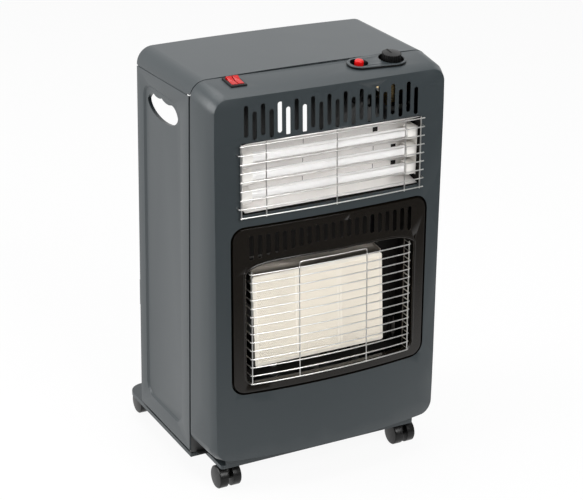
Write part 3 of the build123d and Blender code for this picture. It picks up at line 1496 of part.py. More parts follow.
with BuildPart() as cable_gland:
    with BuildSketch(facing(behind(2 * sheet + gland_collar))):
        with Locations((gland_x, gland_height)):
            Circle(gland_radius + gland_collar)
    extrude(amount=gland_collar)
    with BuildSketch(facing(behind(2 * sheet))):
        with Locations((gland_x, gland_height)):
            Circle(gland_radius)
    extrude(amount=gland_depth)
    with BuildSketch(facing(behind(sheet))):
        with Locations((gland_x, gland_height)):
            RegularPolygon(gland_radius + gland_collar, 6)
    extrude(amount=gland_collar)
    with BuildSketch(facing(behind(2 * sheet + gland_collar))):
        with Locations((gland_x, gland_height)):
            Circle(gland_bore)
    extrude(amount=2 * gland_depth, mode=Mode.SUBTRACT)
finish(cable_gland, "cable_gland")

with BuildPart() as cabinet_screws:
    for sign in (-1, 1):
        with Locations(Plane(origin=(sign * cover_screw_x, rear_y, cover_screw_height), z_dir=(0, 1, 0))):
            Cylinder(screw_head, 2 * sheet, align=(Align.CENTER, Align.CENTER, Align.MIN))
            Cylinder(screw_radius, screw_length, align=(Align.CENTER, Align.CENTER, Align.MAX))
    chamfer(cabinet_screws.edges().group_by(Axis.Y)[-1], length=sheet)
finish(cabinet_screws, "cabinet_screws")

# ---------------------------------------------------------------- castors
web_half = castor_body_width / 2
wheel_inner = web_half + clearance
wheel_outer = wheel_inner + wheel_width
tray_under = tray_top - sheet
neck_low = 2 * wheel_radius + clearance
axle_end = wheel_outer - wheel_face - clearance

with BuildPart() as castor_stems:
    for _, x, y, _ in castor_places:
        with BuildSketch(Plane.XY.offset(tray_top)):
            with Locations((x, y)):
                Circle(stem_flange)
        extrude(amount=sheet)
        with BuildSketch(Plane.XY.offset(tray_top)):
            with Locations((x, y)):
                Circle(stem_radius)
        extrude(amount=-stem_length)
finish(castor_stems, "castor_stems")

for name, x, y, way in castor_places:
    axle_y = y + way * castor_trail
    with BuildPart() as castor_body:
        with BuildSketch(Plane.YZ.offset(x)):
            with BuildLine():
                Polyline(
                    (y - way * castor_neck, neck_low + sheet),
                    (y - way * castor_neck, wheel_radius),
                    (axle_y, wheel_radius - web_foot),
                    (axle_y + way * web_foot, wheel_radius),
                    (axle_y + way * web_foot / 2, wheel_radius + web_foot),
                    (y + way * castor_neck, neck_low + sheet),
                    close=True,
                )
            make_face()
        extrude(amount=web_half, both=True)
        fillet(castor_body.edges().filter_by(Axis.X), radius=2 * sheet)
        with BuildSketch(Plane.XY.offset(neck_low)):
            with Locations((x, y)):
                Circle(castor_neck)
        extrude(amount=tray_under - clearance - neck_low)
        with BuildSketch(Plane.XY.offset(tray_under)):
            with Locations((x, y)):
                Circle(stem_radius + running_clearance)
        extrude(amount=tray_top - stem_length - clearance - tray_under, mode=Mode.SUBTRACT)
        with BuildSketch(Plane.YZ.offset(x)):
            with Locations((axle_y, wheel_radius)):
                Circle(axle_radius)
        extrude(amount=axle_end, both=True)
    finish(castor_body, f"castor_{name}")
    for side, way_out in (("a", -1), ("b", 1)):
        with BuildPart() as wheel:
            with BuildSketch(Plane.YZ.offset(x + way_out * wheel_inner)):
                with Locations((axle_y, wheel_radius)):
                    Circle(wheel_radius)
            extrude(amount=way_out * wheel_width)
            rims = wheel.edges().filter_by(GeomType.CIRCLE).sort_by(Axis.X)
            chamfer(rims[0 if way_out < 0 else -1], length=wheel_round)
            with BuildSketch(Plane.YZ.offset(x + way_out * wheel_inner)):
                with Locations((axle_y, wheel_radius)):
                    Circle(axle_radius + running_clearance)
            extrude(amount=way_out * (wheel_width - wheel_face), mode=Mode.SUBTRACT)
        finish(wheel, f"wheel_{name}_{side}")
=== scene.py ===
import json
from math import cos, pi, radians, sin, sqrt, tau

import bmesh
import bpy
from mathutils import Matrix, Vector


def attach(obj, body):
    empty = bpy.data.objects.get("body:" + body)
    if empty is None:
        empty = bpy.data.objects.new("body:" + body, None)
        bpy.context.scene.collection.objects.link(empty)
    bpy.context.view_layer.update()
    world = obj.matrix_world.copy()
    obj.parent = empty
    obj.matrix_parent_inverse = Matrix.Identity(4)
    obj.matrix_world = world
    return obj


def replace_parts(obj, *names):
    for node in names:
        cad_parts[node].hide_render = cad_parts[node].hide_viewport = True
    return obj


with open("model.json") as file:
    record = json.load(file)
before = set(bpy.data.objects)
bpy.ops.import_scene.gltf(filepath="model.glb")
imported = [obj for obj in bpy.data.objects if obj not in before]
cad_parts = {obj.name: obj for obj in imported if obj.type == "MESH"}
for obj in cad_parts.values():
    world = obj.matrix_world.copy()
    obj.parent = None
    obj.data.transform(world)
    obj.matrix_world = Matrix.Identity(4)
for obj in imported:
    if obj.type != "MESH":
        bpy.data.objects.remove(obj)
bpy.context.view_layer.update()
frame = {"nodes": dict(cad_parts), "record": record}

mm = 0.001
bumpHeight = 0.2 * mm    # of a bump at strength 1
weldGap = 0.002 * mm     # points of a frame mesh that lie nearer than this are one
tileGap = 0.02 * mm      # the same for the plaques' tiles
seamY = -84.159          # in mm, where the front meets the side panels


# ---- node helpers, for shader and geometry trees alike
def addNode(tree, kind, inputs=None, **settings):
    node = tree.nodes.new(kind)
    for key, value in settings.items():
        setattr(node, key, value)
    for key, value in (inputs or {}).items():
        if isinstance(value, bpy.types.NodeSocket):
            tree.links.new(value, node.inputs[key])
        else:
            node.inputs[key].default_value = value
    return node


def maths(tree, operation, first, second=0.0, third=0.0):
    values = {0: first, 1: second, 2: third}
    return addNode(tree, "ShaderNodeMath", values, operation=operation).outputs[0]


def newGroup(name, kind, inputs, outputs):
    tree = bpy.data.node_groups.new(name, kind)
    for label, socketType, value in inputs:
        socket = tree.interface.new_socket(name=label, in_out="INPUT", socket_type=socketType)
        if value is not None:
            socket.default_value = value
    for label, socketType in outputs:
        tree.interface.new_socket(name=label, in_out="OUTPUT", socket_type=socketType)
    return tree, tree.nodes.new("NodeGroupInput").outputs, tree.nodes.new("NodeGroupOutput")


# ---- effects that several finishes share
def makeCloudGroup():
    # broad, faint unevenness of colour and gloss
    tree, given, result = newGroup(
        "cloudyTone", "ShaderNodeTree",
        [("Color", "NodeSocketColor", (0.5, 0.5, 0.5, 1)), ("Roughness", "NodeSocketFloat", 0.4),
         ("Scale", "NodeSocketFloat", 9.0), ("Tone Spread", "NodeSocketFloat", 0.06),
         ("Roughness Spread", "NodeSocketFloat", 0.05)],
        [("Color", "NodeSocketColor"), ("Roughness", "NodeSocketFloat")])
    place = addNode(tree, "ShaderNodeTexCoord").outputs["Object"]
    noise = addNode(tree, "ShaderNodeTexNoise", {"Vector": place, "Scale": given["Scale"], "Detail": 4.0})
    swing = maths(tree, "SUBTRACT", noise.outputs["Fac"], 0.5)
    tone = maths(tree, "MULTIPLY_ADD", swing, given["Tone Spread"], 1.0)
    scaled = addNode(tree, "ShaderNodeVectorMath", {0: given["Color"]}, operation="SCALE")
    tree.links.new(tone, scaled.inputs["Scale"])
    tree.links.new(scaled.outputs[0], result.inputs["Color"])
    rough = maths(tree, "MULTIPLY_ADD", swing, given["Roughness Spread"], given["Roughness"])
    tree.links.new(rough, result.inputs["Roughness"])
    return tree


def makeGrainGroup():
    # fine grain such as orange peel, moulded skin or fired clay
    tree, given, result = newGroup(
        "fineGrain", "ShaderNodeTree",
        [("Scale", "NodeSocketFloat", 900.0), ("Depth", "NodeSocketFloat", 1.0),
         ("Detail", "NodeSocketFloat", 2.0)],
        [("Height", "NodeSocketFloat")])
    place = addNode(tree, "ShaderNodeTexCoord").outputs["Object"]
    noise = addNode(tree, "ShaderNodeTexNoise", {
        "Vector": place, "Scale": given["Scale"], "Detail": given["Detail"]})
    tree.links.new(maths(tree, "MULTIPLY", noise.outputs["Fac"], given["Depth"]), result.inputs["Height"])
    return tree


def makeDrawnGroup():
    # long scratches of rolled, drawn or brushed metal
    tree, given, result = newGroup(
        "drawnLines", "ShaderNodeTree",
        [("Stretch", "NodeSocketVector", (20.0, 900.0, 900.0)), ("Depth", "NodeSocketFloat", 1.0),
         ("Roughness", "NodeSocketFloat", 0.3), ("Roughness Spread", "NodeSocketFloat", 0.15)],
        [("Height", "NodeSocketFloat"), ("Roughness", "NodeSocketFloat")])
    place = addNode(tree, "ShaderNodeTexCoord").outputs["Object"]
    stretched = addNode(tree, "ShaderNodeVectorMath", {0: place, 1: given["Stretch"]}, operation="MULTIPLY")
    noise = addNode(tree, "ShaderNodeTexNoise", {"Vector": stretched.outputs[0], "Scale": 1.0, "Detail": 3.0})
    tree.links.new(maths(tree, "MULTIPLY", noise.outputs["Fac"], given["Depth"]), result.inputs["Height"])
    swing = maths(tree, "SUBTRACT", noise.outputs["Fac"], 0.5)
    rough = maths(tree, "MULTIPLY_ADD", swing, given["Roughness Spread"], given["Roughness"])
    tree.links.new(rough, result.inputs["Roughness"])
    return tree


cloudyTone = makeCloudGroup()
fineGrain = makeGrainGroup()
drawnLines = makeDrawnGroup()


def fillGroup(tree, group, values):
    node = addNode(tree, "ShaderNodeGroup", node_tree=group)
    for key, value in values.items():
        if isinstance(value, bpy.types.NodeSocket):
            tree.links.new(value, node.inputs[key])
        else:
            node.inputs[key].default_value = value
    return node


def newFinish(name):
    finish = bpy.data.materials.new(name)
    finish.use_nodes = True
    tree = finish.node_tree
    tree.nodes.clear()
    shader = tree.nodes.new("ShaderNodeBsdfPrincipled")
    target = tree.nodes.new("ShaderNodeOutputMaterial")
    tree.links.new(shader.outputs["BSDF"], target.inputs["Surface"])
    return finish, tree, shader


def grainFinish(name, color, roughness, grain=900.0, depth=0.1, cloud=9.0, tone=0.06, spread=0.05, **plain):
    # painted, moulded or fired surface; plain holds the shader's own even values
    finish, tree, shader = newFinish(name)
    clouds = fillGroup(tree, cloudyTone, {
        "Color": (*color, 1), "Roughness": roughness, "Scale": cloud, "Tone Spread": tone,
        "Roughness Spread": spread})
    grains = fillGroup(tree, fineGrain, {"Scale": grain, "Depth": 1.0})
    bump = addNode(tree, "ShaderNodeBump", {
        "Strength": depth, "Distance": bumpHeight, "Height": grains.outputs["Height"]})
    tree.links.new(clouds.outputs["Color"], shader.inputs["Base Color"])
    tree.links.new(clouds.outputs["Roughness"], shader.inputs["Roughness"])
    tree.links.new(bump.outputs["Normal"], shader.inputs["Normal"])
    for key, value in plain.items():
        shader.inputs[key.replace("_", " ")].default_value = value
    return finish


metalClouds = {"Scale": 30.0, "Roughness Spread": 0.04}


def metalFinish(name, color, roughness, stretch=(20, 900, 900), depth=0.08, spread=0.15, tone=0.08, **plain):
    # bare or plated metal with its drawing lines
    finish, tree, shader = newFinish(name)
    lines = fillGroup(tree, drawnLines, {"Stretch": stretch, "Depth": 1.0, "Roughness": roughness,
                                         "Roughness Spread": spread})
    clouds = fillGroup(tree, cloudyTone, {
        "Color": (*color, 1), "Roughness": lines.outputs["Roughness"], "Tone Spread": tone, **metalClouds})
    bump = addNode(tree, "ShaderNodeBump", {
        "Strength": depth, "Distance": bumpHeight, "Height": lines.outputs["Height"]})
    tree.links.new(clouds.outputs["Color"], shader.inputs["Base Color"])
    tree.links.new(clouds.outputs["Roughness"], shader.inputs["Roughness"])
    tree.links.new(bump.outputs["Normal"], shader.inputs["Normal"])
    shader.inputs["Metallic"].default_value = 1.0
    for key, value in plain.items():
        shader.inputs[key.replace("_", " ")].default_value = value
    return finish


cabinetPaint = grainFinish("cabinetPaint", (0.027, 0.035, 0.039), 0.38, grain=1400, depth=0.05, tone=0.05)
trayPaint = grainFinish("trayPaint", (0.027, 0.035, 0.039), 0.42, grain=1400, depth=0.06)
zincSheet = metalFinish("zincSheet", (0.55, 0.56, 0.57), 0.42)
# zinc darkened as painted shade for the partition inside the cabinet
shadeDarkZinc = metalFinish("shadeDarkZinc", (0.16, 0.16, 0.16), 0.5, tone=0.2)
# black enamel of the bezel, also laid as painted shade in the groove round it
blackEnamelAndShade = grainFinish("blackEnamelAndShade", (0.006, 0.0045, 0.003), 0.16, grain=500, depth=0.04, spread=0.06)
# black sheet for black parts such as the burner liner, also laid as painted shade on the heater housing, the
# heat plate's upper edges and the reflector's slots
blackSheetAndShade = grainFinish("blackSheetAndShade", (0.012, 0.011, 0.010), 0.6, grain=700, depth=0.15,
                         Specular_IOR_Level=0.15)
wireLines = (60, 500, 500)
brightWire = metalFinish("brightWire", (0.78, 0.77, 0.75), 0.3, stretch=wireLines, depth=0.03, spread=0.08)
# dark wire, painted shade for the lower guard's end rods behind the bars
shadeDarkWire = metalFinish("shadeDarkWire", (0.20, 0.18, 0.16), 0.45, stretch=wireLines, depth=0.03, tone=0.3)
plaqueClay = grainFinish("plaqueClay", (0.93, 0.87, 0.76), 0.85, grain=1500, depth=0.25, tone=0.10)
whiteCeramic = grainFinish("whiteCeramic", (0.82, 0.80, 0.76), 0.35, grain=600, depth=0.05)
tintedSteel = metalFinish("tintedSteel", (0.60, 0.54, 0.47), 0.5, spread=0.2, tone=0.25, Metallic=0.3)
frameCement = grainFinish("frameCement", (0.86, 0.81, 0.72), 0.7, grain=1100, depth=0.2)
mirrorSheet = metalFinish("mirrorSheet", (0.93, 0.91, 0.89), 0.4, spread=0.1, Metallic=0.55)
coilWire = metalFinish("coilWire", (0.42, 0.40, 0.37), 0.35)
valveBrass = metalFinish("valveBrass", (0.74, 0.55, 0.26), 0.28, depth=0.05)
drawnPipe = metalFinish("drawnPipe", (0.60, 0.60, 0.59), 0.3)
# near-black metal for the pilot pipe, the pilot burner and the thermocouple
nearBlackPipe = metalFinish("nearBlackPipe", (0.045, 0.04, 0.036), 0.55, tone=0.3)
plainSteel = metalFinish("plainSteel", (0.52, 0.52, 0.52), 0.32)
blackSleeve = grainFinish("blackSleeve", (0.02, 0.02, 0.02), 0.6, grain=1200, depth=0.1)
# near-black ceramic for the spark electrode
nearBlackCeramic = grainFinish("nearBlackCeramic", (0.05, 0.045, 0.04), 0.6, grain=900, depth=0.1, tone=0.4)
buttonRed = grainFinish("buttonRed", (0.58, 0.006, 0.006), 0.25, grain=700, depth=0.02,
                        Specular_IOR_Level=0.3)
# black plastic of the knob and housings, also laid as painted shade in the control plate's recesses
blackPlasticAndShade = grainFinish("blackPlasticAndShade", (0.007, 0.007, 0.007), 0.34, grain=2200, depth=0.12,
                           Specular_IOR_Level=0.22)
castorNylon = grainFinish("castorNylon", (0.006, 0.006, 0.006), 0.34, grain=1800, depth=0.10,
                          Specular_IOR_Level=0.25)


def rockerFinish():
    # red see-through plastic, lit from inside by what it lets through
    finish, tree, shader = newFinish("rockerRed")
    clouds = fillGroup(tree, cloudyTone, {"Color": (0.50, 0.005, 0.004, 1), "Roughness": 0.16, "Scale": 200.0,
                                          "Tone Spread": 0.15, "Roughness Spread": 0.03})
    tree.links.new(clouds.outputs["Color"], shader.inputs["Base Color"])
    tree.links.new(clouds.outputs["Roughness"], shader.inputs["Roughness"])
    shader.inputs["Specular IOR Level"].default_value = 0.3
    shader.inputs["Transmission Weight"].default_value = 0.15
    return finish


def quartzFinish():
    # milky quartz: lets the coil show only faintly
    finish, tree, shader = newFinish("milkyQuartz")
    clouds = fillGroup(tree, cloudyTone, {"Color": (0.95, 0.94, 0.93, 1), "Roughness": 0.16, "Scale": 60.0,
                                          "Tone Spread": 0.06, "Roughness Spread": 0.06})
    tree.links.new(clouds.outputs["Color"], shader.inputs["Base Color"])
    tree.links.new(clouds.outputs["Roughness"], shader.inputs["Roughness"])
    shader.inputs["Transmission Weight"].default_value = 0.12
    shader.inputs["Coat Weight"].default_value = 0.3
    return finish


rockerRed = rockerFinish()
milkyQuartz = quartzFinish()
print("finishes ready")


# ---- pieces taken from the frame with rounded edges
def bodyOf(node):
    for body, nodes in frame["record"]["behaviour"]["bodies"].items():
        if node in nodes:
            return body


def slotOf(node):
    for entry in frame["record"]["subparts"]:
        if entry["node"] == node:
            return entry["material_slot"]


def jointOf(name):
    for joint in frame["record"]["behaviour"]["joints"]:
        if joint["name"] == name:
            return joint


def placePiece(mesh, name, finish, body, materialSlot):
    piece = bpy.data.objects.new(name, mesh)
    bpy.context.scene.collection.objects.link(piece)
    if finish:
        mesh.materials.clear()
        mesh.materials.append(finish)
    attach(piece, body)
    return piece


def softenedCopy(node, name, finish, edge=0.35, steps=2, sharp=30):
    # merged copy of a frame piece, its edges rounded as a real sheet's or moulding's are
    mesh = frame["nodes"][node].data.copy()
    work = bmesh.new()
    work.from_mesh(mesh)
    bmesh.ops.remove_doubles(work, verts=work.verts, dist=weldGap)
    work.to_mesh(mesh)
    work.free()
    mesh.shade_smooth()
    mesh.set_sharp_from_angle(angle=radians(sharp))
    piece = placePiece(mesh, name, finish, bodyOf(node), slotOf(node))
    if edge:
        rounding = piece.modifiers.new("roundedEdges", "BEVEL")
        rounding.width = edge * mm
        rounding.segments = steps
        rounding.limit_method = "ANGLE"
        rounding.angle_limit = radians(sharp)
        rounding.harden_normals = True
        rounding.use_clamp_overlap = True
    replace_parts(piece, node)
    return piece


softened = {
    "front_panel": ("frontPanelSkin", cabinetPaint, 0.3),
    "top_cover": ("topCoverSkin", cabinetPaint, 0.3),
    "left_side_panel": ("leftSideSkin", cabinetPaint, 0.3),
    "right_side_panel": ("rightSideSkin", cabinetPaint, 0.3),
    "control_escutcheon": ("controlPlate", cabinetPaint, 0.3),
    "base_tray": ("trayPan", trayPaint, 0.3),
    "tray_tabs": ("trayTabs", trayPaint, 0.2),
    "burner_bezel": ("enamelBezel", blackEnamelAndShade, 0.2),
    # the partition's darkened zinc is painted shade
    "rear_partition": ("partitionSheet", shadeDarkZinc, 0.2),
    "control_knob": ("ribbedKnob", blackPlasticAndShade, 0.25),
    "ignition_button": ("redButton", buttonRed, 0.25),
    "rocker_frame": ("rockerHousing", blackPlasticAndShade, 0.3),
    "left_rocker": ("rockerLeft", rockerRed, 0.3),
    "right_rocker": ("rockerRight", rockerRed, 0.3),
    "gas_valve": ("valveBody", valveBrass, 0.3),
    "hose_nozzle": ("barbedNozzle", valveBrass, 0.2),
    "tilt_switch": ("tiltSwitchCase", blackPlasticAndShade, 0.4),
    "cable_gland": ("cordGland", blackPlasticAndShade, 0.4),
    "piezo_igniter": ("piezoCase", blackPlasticAndShade, 0.4),
    "terminal_block": ("terminalStrip", whiteCeramic, 0.4),
    "plaque_frame": ("plaqueSurround", frameCement, 0.2),
    "heat_shield": ("heatPlate", tintedSteel, 0.2),
    "ceramic_caps": ("tubeCaps", whiteCeramic, 0.5),
}
for node, (name, finish, edge) in softened.items():
    softenedCopy(node, name, finish, edge)
for node in frame["nodes"]:
    if node.startswith(("castor_front", "castor_rear")):
        softenedCopy(node, "forkOf_" + node, castorNylon, 0.4)
    elif node.startswith("wheel_"):
        softenedCopy(node, "tyreOf_" + node, castorNylon, 0.4)


def darkenBelow(piece, finish, up, drop):
    # faces that lie deeper than drop under the highest one get another finish
    mesh = piece.data
    mesh.materials.append(finish)
    heights = [Vector(up).dot(face.center) for face in mesh.polygons]
    limit = max(heights) - drop * mm
    for face, height in zip(mesh.polygons, heights):
        face.material_index = int(height < limit)


# the control plate's recesses get black plastic as painted shade; its upright is the knob's axis
knobTurn = jointOf("knob_turn")
wellShade = {"up": knobTurn["axis"], "drop": 0.8}
darkenBelow(bpy.data.objects["controlPlate"], blackPlasticAndShade, **wellShade)
# the heat plate's upturned edges get black sheet as painted shade
heatPlateShade = {"up": (0, 0, -1), "drop": 8.5}
darkenBelow(bpy.data.objects["heatPlate"], blackSheetAndShade, **heatPlateShade)

# ---- more room in the knob's bore than in the solids: the depth parts its end from the spindle's end,
# which touched, and the width is spare
knobBore = {"within": 3.5, "below": 12.5, "mouth": 1.0, "wider": 0.08, "deeper": 0.15}


def openBore(piece, joint, bore):
    axis, centre = Vector(joint["axis"]).normalized(), Vector(joint["pos_m"])
    verts = piece.data.vertices
    heights = [axis.dot(vert.co - centre) for vert in verts]
    foot = min(heights)
    for vert, height in zip(verts, heights):
        out = vert.co - centre - axis * height
        if out.length < bore["within"] * mm and height - foot < bore["below"] * mm:
            vert.co += out.normalized() * bore["wider"] * mm
            if height - foot > bore["mouth"] * mm:
                vert.co += axis * bore["deeper"] * mm


openBore(bpy.data.objects["ribbedKnob"], knobTurn, knobBore)
print("sheets and mouldings rounded")

# ---- frame pieces that keep their own mesh
plainPieces = {
    # the heater housing gets black sheet as painted shade for the dark inside of the cabinet
    "burner_brackets": zincSheet, "heater_housing": blackSheetAndShade, "tube_brackets": whiteCeramic,
    "burner_liner": blackSheetAndShade, "burner_box": blackSheetAndShade, "spark_electrode": nearBlackCeramic,
    "reflector": mirrorSheet, "injectors": valveBrass, "main_gas_pipe": drawnPipe, "pilot_pipe": nearBlackPipe,
    "gas_manifold": drawnPipe, "mixer_tubes": plainSteel, "pilot_burner": nearBlackPipe,
    "knob_spindle": plainSteel, "cabinet_screws": plainSteel, "castor_stems": plainSteel,
    "thermocouple": nearBlackPipe,
    "spark_lead": blackSleeve, "heater_leads": blackSleeve, "quartz_tubes": milkyQuartz,
}
for node, finish in plainPieces.items():
    mesh = frame["nodes"][node].data
    mesh.materials.clear()
    mesh.materials.append(finish)


# ---- Geometry Nodes: each tree starts from a few given edges and ends in one plain mesh
def geometryTree(name, sizes):
    labels = [("Geometry", "NodeSocketGeometry", None), ("Finish", "NodeSocketMaterial", None)]
    labels += [(label, "NodeSocketFloat", value) for label, value in sizes.items()]
    return newGroup(name, "GeometryNodeTree", labels, [("Geometry", "NodeSocketGeometry")])


def closeTree(tree, shape, given, result):
    real = addNode(tree, "GeometryNodeRealizeInstances", {"Geometry": shape}).outputs[0]
    painted = addNode(tree, "GeometryNodeSetMaterial", {"Geometry": real, "Material": given["Finish"]})
    tree.links.new(painted.outputs[0], result.inputs["Geometry"])
    return tree


def sweptWire(tree, path, radius, sides):
    ring = addNode(tree, "GeometryNodeCurvePrimitiveCircle", {"Resolution": sides, "Radius": radius})
    swept = addNode(tree, "GeometryNodeCurveToMesh", {
        "Curve": path, "Profile Curve": ring.outputs[0], "Fill Caps": True})
    return swept.outputs[0]


def makeFaceWireTree():
    # wires drawn on a flat sheet, bent onto the bowed front; y in the sheet is the depth behind its skin
    tree, given, result = geometryTree("wireOnFace", {
        "Radius": 1.1 * mm, "Bend": 3 * mm, "Step": 2.5 * mm, "Seam Y": 0.0, "Seam Height": 0.7,
        "Front Height": 0.6, "Half": 0.2, "Side Top": 0.07, "Side Gain": 0.01, "Bow Top": 0.001,
        "Bow Gain": 0.02})
    drawn = addNode(tree, "GeometryNodeMeshToCurve", {"Mesh": given["Geometry"]}).outputs[0]
    bent = addNode(tree, "GeometryNodeFilletCurve", {
        "Curve": drawn, "Count": 5, "Radius": given["Bend"], "Limit Radius": True}, mode="POLY").outputs[0]
    even = addNode(tree, "GeometryNodeResampleCurve", {"Curve": bent, "Length": given["Step"]}, mode="LENGTH")
    spot = addNode(tree, "ShaderNodeSeparateXYZ", {
        0: addNode(tree, "GeometryNodeInputPosition").outputs[0]}).outputs
    drop = maths(tree, "SUBTRACT", given["Seam Height"], spot["Z"])
    share = maths(tree, "DIVIDE", drop, given["Front Height"])
    side = maths(tree, "MULTIPLY_ADD", share, given["Side Gain"], given["Side Top"])
    bow = maths(tree, "MULTIPLY_ADD", share, given["Bow Gain"], given["Bow Top"])
    out = maths(tree, "POWER", maths(tree, "ABSOLUTE", maths(tree, "DIVIDE", spot["X"], given["Half"])), 2.0)
    reach = maths(tree, "MULTIPLY_ADD", bow, maths(tree, "SUBTRACT", 1.0, out), side)
    shift = addNode(tree, "ShaderNodeCombineXYZ", {"Y": maths(tree, "SUBTRACT", given["Seam Y"], reach)})
    laid = addNode(tree, "GeometryNodeSetPosition", {"Geometry": even.outputs[0], "Offset": shift.outputs[0]})
    return closeTree(tree, sweptWire(tree, laid.outputs[0], given["Radius"], sides=10), given, result)


def makeCoilTree():
    # each straight edge becomes a helix round itself
    tree, given, result = geometryTree("woundCoil", {
        "Radius": 0.4 * mm, "Coil": 4.6 * mm, "Pitch": 3 * mm, "Step": 0.25 * mm})
    drawn = addNode(tree, "GeometryNodeMeshToCurve", {"Mesh": given["Geometry"]}).outputs[0]
    even = addNode(tree, "GeometryNodeResampleCurve", {
        "Curve": drawn, "Length": given["Step"]}, mode="LENGTH")
    spot = addNode(tree, "ShaderNodeSeparateXYZ", {
        0: addNode(tree, "GeometryNodeInputPosition").outputs[0]}).outputs
    turn = maths(tree, "MULTIPLY", maths(tree, "DIVIDE", spot["X"], given["Pitch"]), tau)
    shift = addNode(tree, "ShaderNodeCombineXYZ", {
        "Y": maths(tree, "MULTIPLY", maths(tree, "COSINE", turn), given["Coil"]),
        "Z": maths(tree, "MULTIPLY", maths(tree, "SINE", turn), given["Coil"])})
    laid = addNode(tree, "GeometryNodeSetPosition", {"Geometry": even.outputs[0], "Offset": shift.outputs[0]})
    return closeTree(tree, sweptWire(tree, laid.outputs[0], given["Radius"], sides=6), given, result)


def makePiercedTree():
    # a six-sided tile with a hole on each point of the grid it is given, joined to one closed plate
    tree, given, result = geometryTree("piercedPlate", {
        "Pitch": 2.4 * mm, "Hole": 0.6 * mm, "Thickness": 1.1 * mm})
    corner = maths(tree, "DIVIDE", given["Pitch"], sqrt(3))
    blank = addNode(tree, "GeometryNodeMeshCircle", {"Vertices": 6, "Radius": corner}, fill_type="NGON")
    rimmed = addNode(tree, "GeometryNodeExtrudeMesh", {
        "Mesh": blank.outputs[0], "Offset Scale": 0.0}, mode="FACES")
    inner = addNode(tree, "GeometryNodeScaleElements", {
        "Geometry": rimmed.outputs["Mesh"], "Selection": rimmed.outputs["Top"],
        "Scale": maths(tree, "DIVIDE", given["Hole"], corner)})
    tile = addNode(tree, "GeometryNodeDeleteGeometry", {
        "Geometry": inner.outputs[0], "Selection": rimmed.outputs["Top"]}, domain="FACE")
    turned = addNode(tree, "GeometryNodeTransform", {"Geometry": tile.outputs[0], "Rotation": (0, 0, pi / 6)})
    tiled = addNode(tree, "GeometryNodeInstanceOnPoints", {
        "Points": given["Geometry"], "Instance": turned.outputs[0]}).outputs[0]
    real = addNode(tree, "GeometryNodeRealizeInstances", {"Geometry": tiled}).outputs[0]
    sheetOf = addNode(tree, "GeometryNodeMergeByDistance", {"Geometry": real, "Distance": tileGap}).outputs[0]
    down = addNode(tree, "ShaderNodeCombineXYZ", {"Z": maths(tree, "MULTIPLY", given["Thickness"], -1.0)})
    flipped = addNode(tree, "GeometryNodeFlipFaces", {"Mesh": sheetOf}).outputs[0]
    under = addNode(tree, "GeometryNodeExtrudeMesh", {
        "Mesh": flipped, "Offset": down.outputs[0], "Offset Scale": 1.0, "Individual": False},
        mode="FACES").outputs["Mesh"]
    both = tree.nodes.new("GeometryNodeJoinGeometry")
    tree.links.new(sheetOf, both.inputs[0])
    tree.links.new(under, both.inputs[0])
    plate = addNode(tree, "GeometryNodeMergeByDistance", {"Geometry": both.outputs[0], "Distance": tileGap})
    return closeTree(tree, plate.outputs[0], given, result)


def pathMesh(paths, closed=False):
    # edges along each path, or separate points where a path has only one
    points, edges = [], []
    for path in paths:
        first = len(points)
        points += path
        edges += [(first + index, first + index + 1) for index in range(len(path) - 1)]
        if closed:
            edges.append((len(points) - 1, first))
    mesh = bpy.data.meshes.new("drawnPaths")
    mesh.from_pydata(points, edges, [])
    return mesh


def grown(start, tree, finish, values):
    # the inputs are set by their sockets' identifiers before the first evaluation
    seed = bpy.data.objects.new("growthSeed", start)
    bpy.context.scene.collection.objects.link(seed)
    growth = seed.modifiers.new("growth", "NODES")
    growth.node_group = tree
    values = {**values, "Finish": finish}
    for item in tree.interface.items_tree:
        if item.in_out == "INPUT" and item.name in values:
            growth[item.identifier] = values[item.name]
    mesh = bpy.data.meshes.new_from_object(seed.evaluated_get(bpy.context.evaluated_depsgraph_get()))
    bpy.data.objects.remove(seed)
    return mesh


wireOnFace = makeFaceWireTree()
woundCoil = makeCoilTree()
piercedPlate = makePiercedTree()

# the front's skin: how far it stands forward of the seam, as the frame's front panel does
frontFace = {"Seam Y": seamY * mm, "Seam Height": 706.5 * mm, "Front Height": 640.5 * mm,
             "Half": 217.5 * mm, "Side Top": 70 * mm, "Side Gain": 14 * mm, "Bow Top": 1 * mm,
             "Bow Gain": 23 * mm}


def skinY(x, z):
    share = (frontFace["Seam Height"] - z) / frontFace["Front Height"]
    bow = (frontFace["Bow Top"] + frontFace["Bow Gain"] * share) * (1 - (x / frontFace["Half"]) ** 2)
    return frontFace["Seam Y"] - frontFace["Side Top"] - frontFace["Side Gain"] * share - bow


def inMetres(path):
    return [tuple(mm * value for value in point) for point in path]


# ---- wire guards
upperGuard = {"bars": 9, "low": 498.5, "high": 616.0, "half": 168.0, "stand": 6.5, "rodStand": 4.7,
              "rods": (-165, -122, 4, 132, 162), "overhang": 3.0, "footBars": (1, 7), "footHalf": 169.15,
              "foot": 6.0, "radius": 1.05}
lowerGuard = {"bars": 14, "low": 207.5, "high": 399.0, "half": 149.6, "stand": 3.0, "rodStand": 1.35,
              "rods": (-147, 147), "rodLow": 205.9, "rodHigh": 404.2, "inside": 18.0, "hoopHalf": 63,
              "hoopTop": 408, "radius": 1.05}


def upperGuardPaths(guard):
    for index in range(guard["bars"]):
        z = guard["low"] + (guard["high"] - guard["low"]) * index / (guard["bars"] - 1)
        footed = index in guard["footBars"]
        half = guard["footHalf"] if footed else guard["half"]
        bar = [(-half, -guard["stand"], z), (half, -guard["stand"], z)]
        if footed:
            bar = [(-half, guard["foot"], z), *bar, (half, guard["foot"], z)]
        yield inMetres(bar)
    for x in guard["rods"]:
        yield inMetres([(x, -guard["rodStand"], guard["low"] - guard["overhang"]),
                        (x, -guard["rodStand"], guard["high"] + guard["overhang"])])


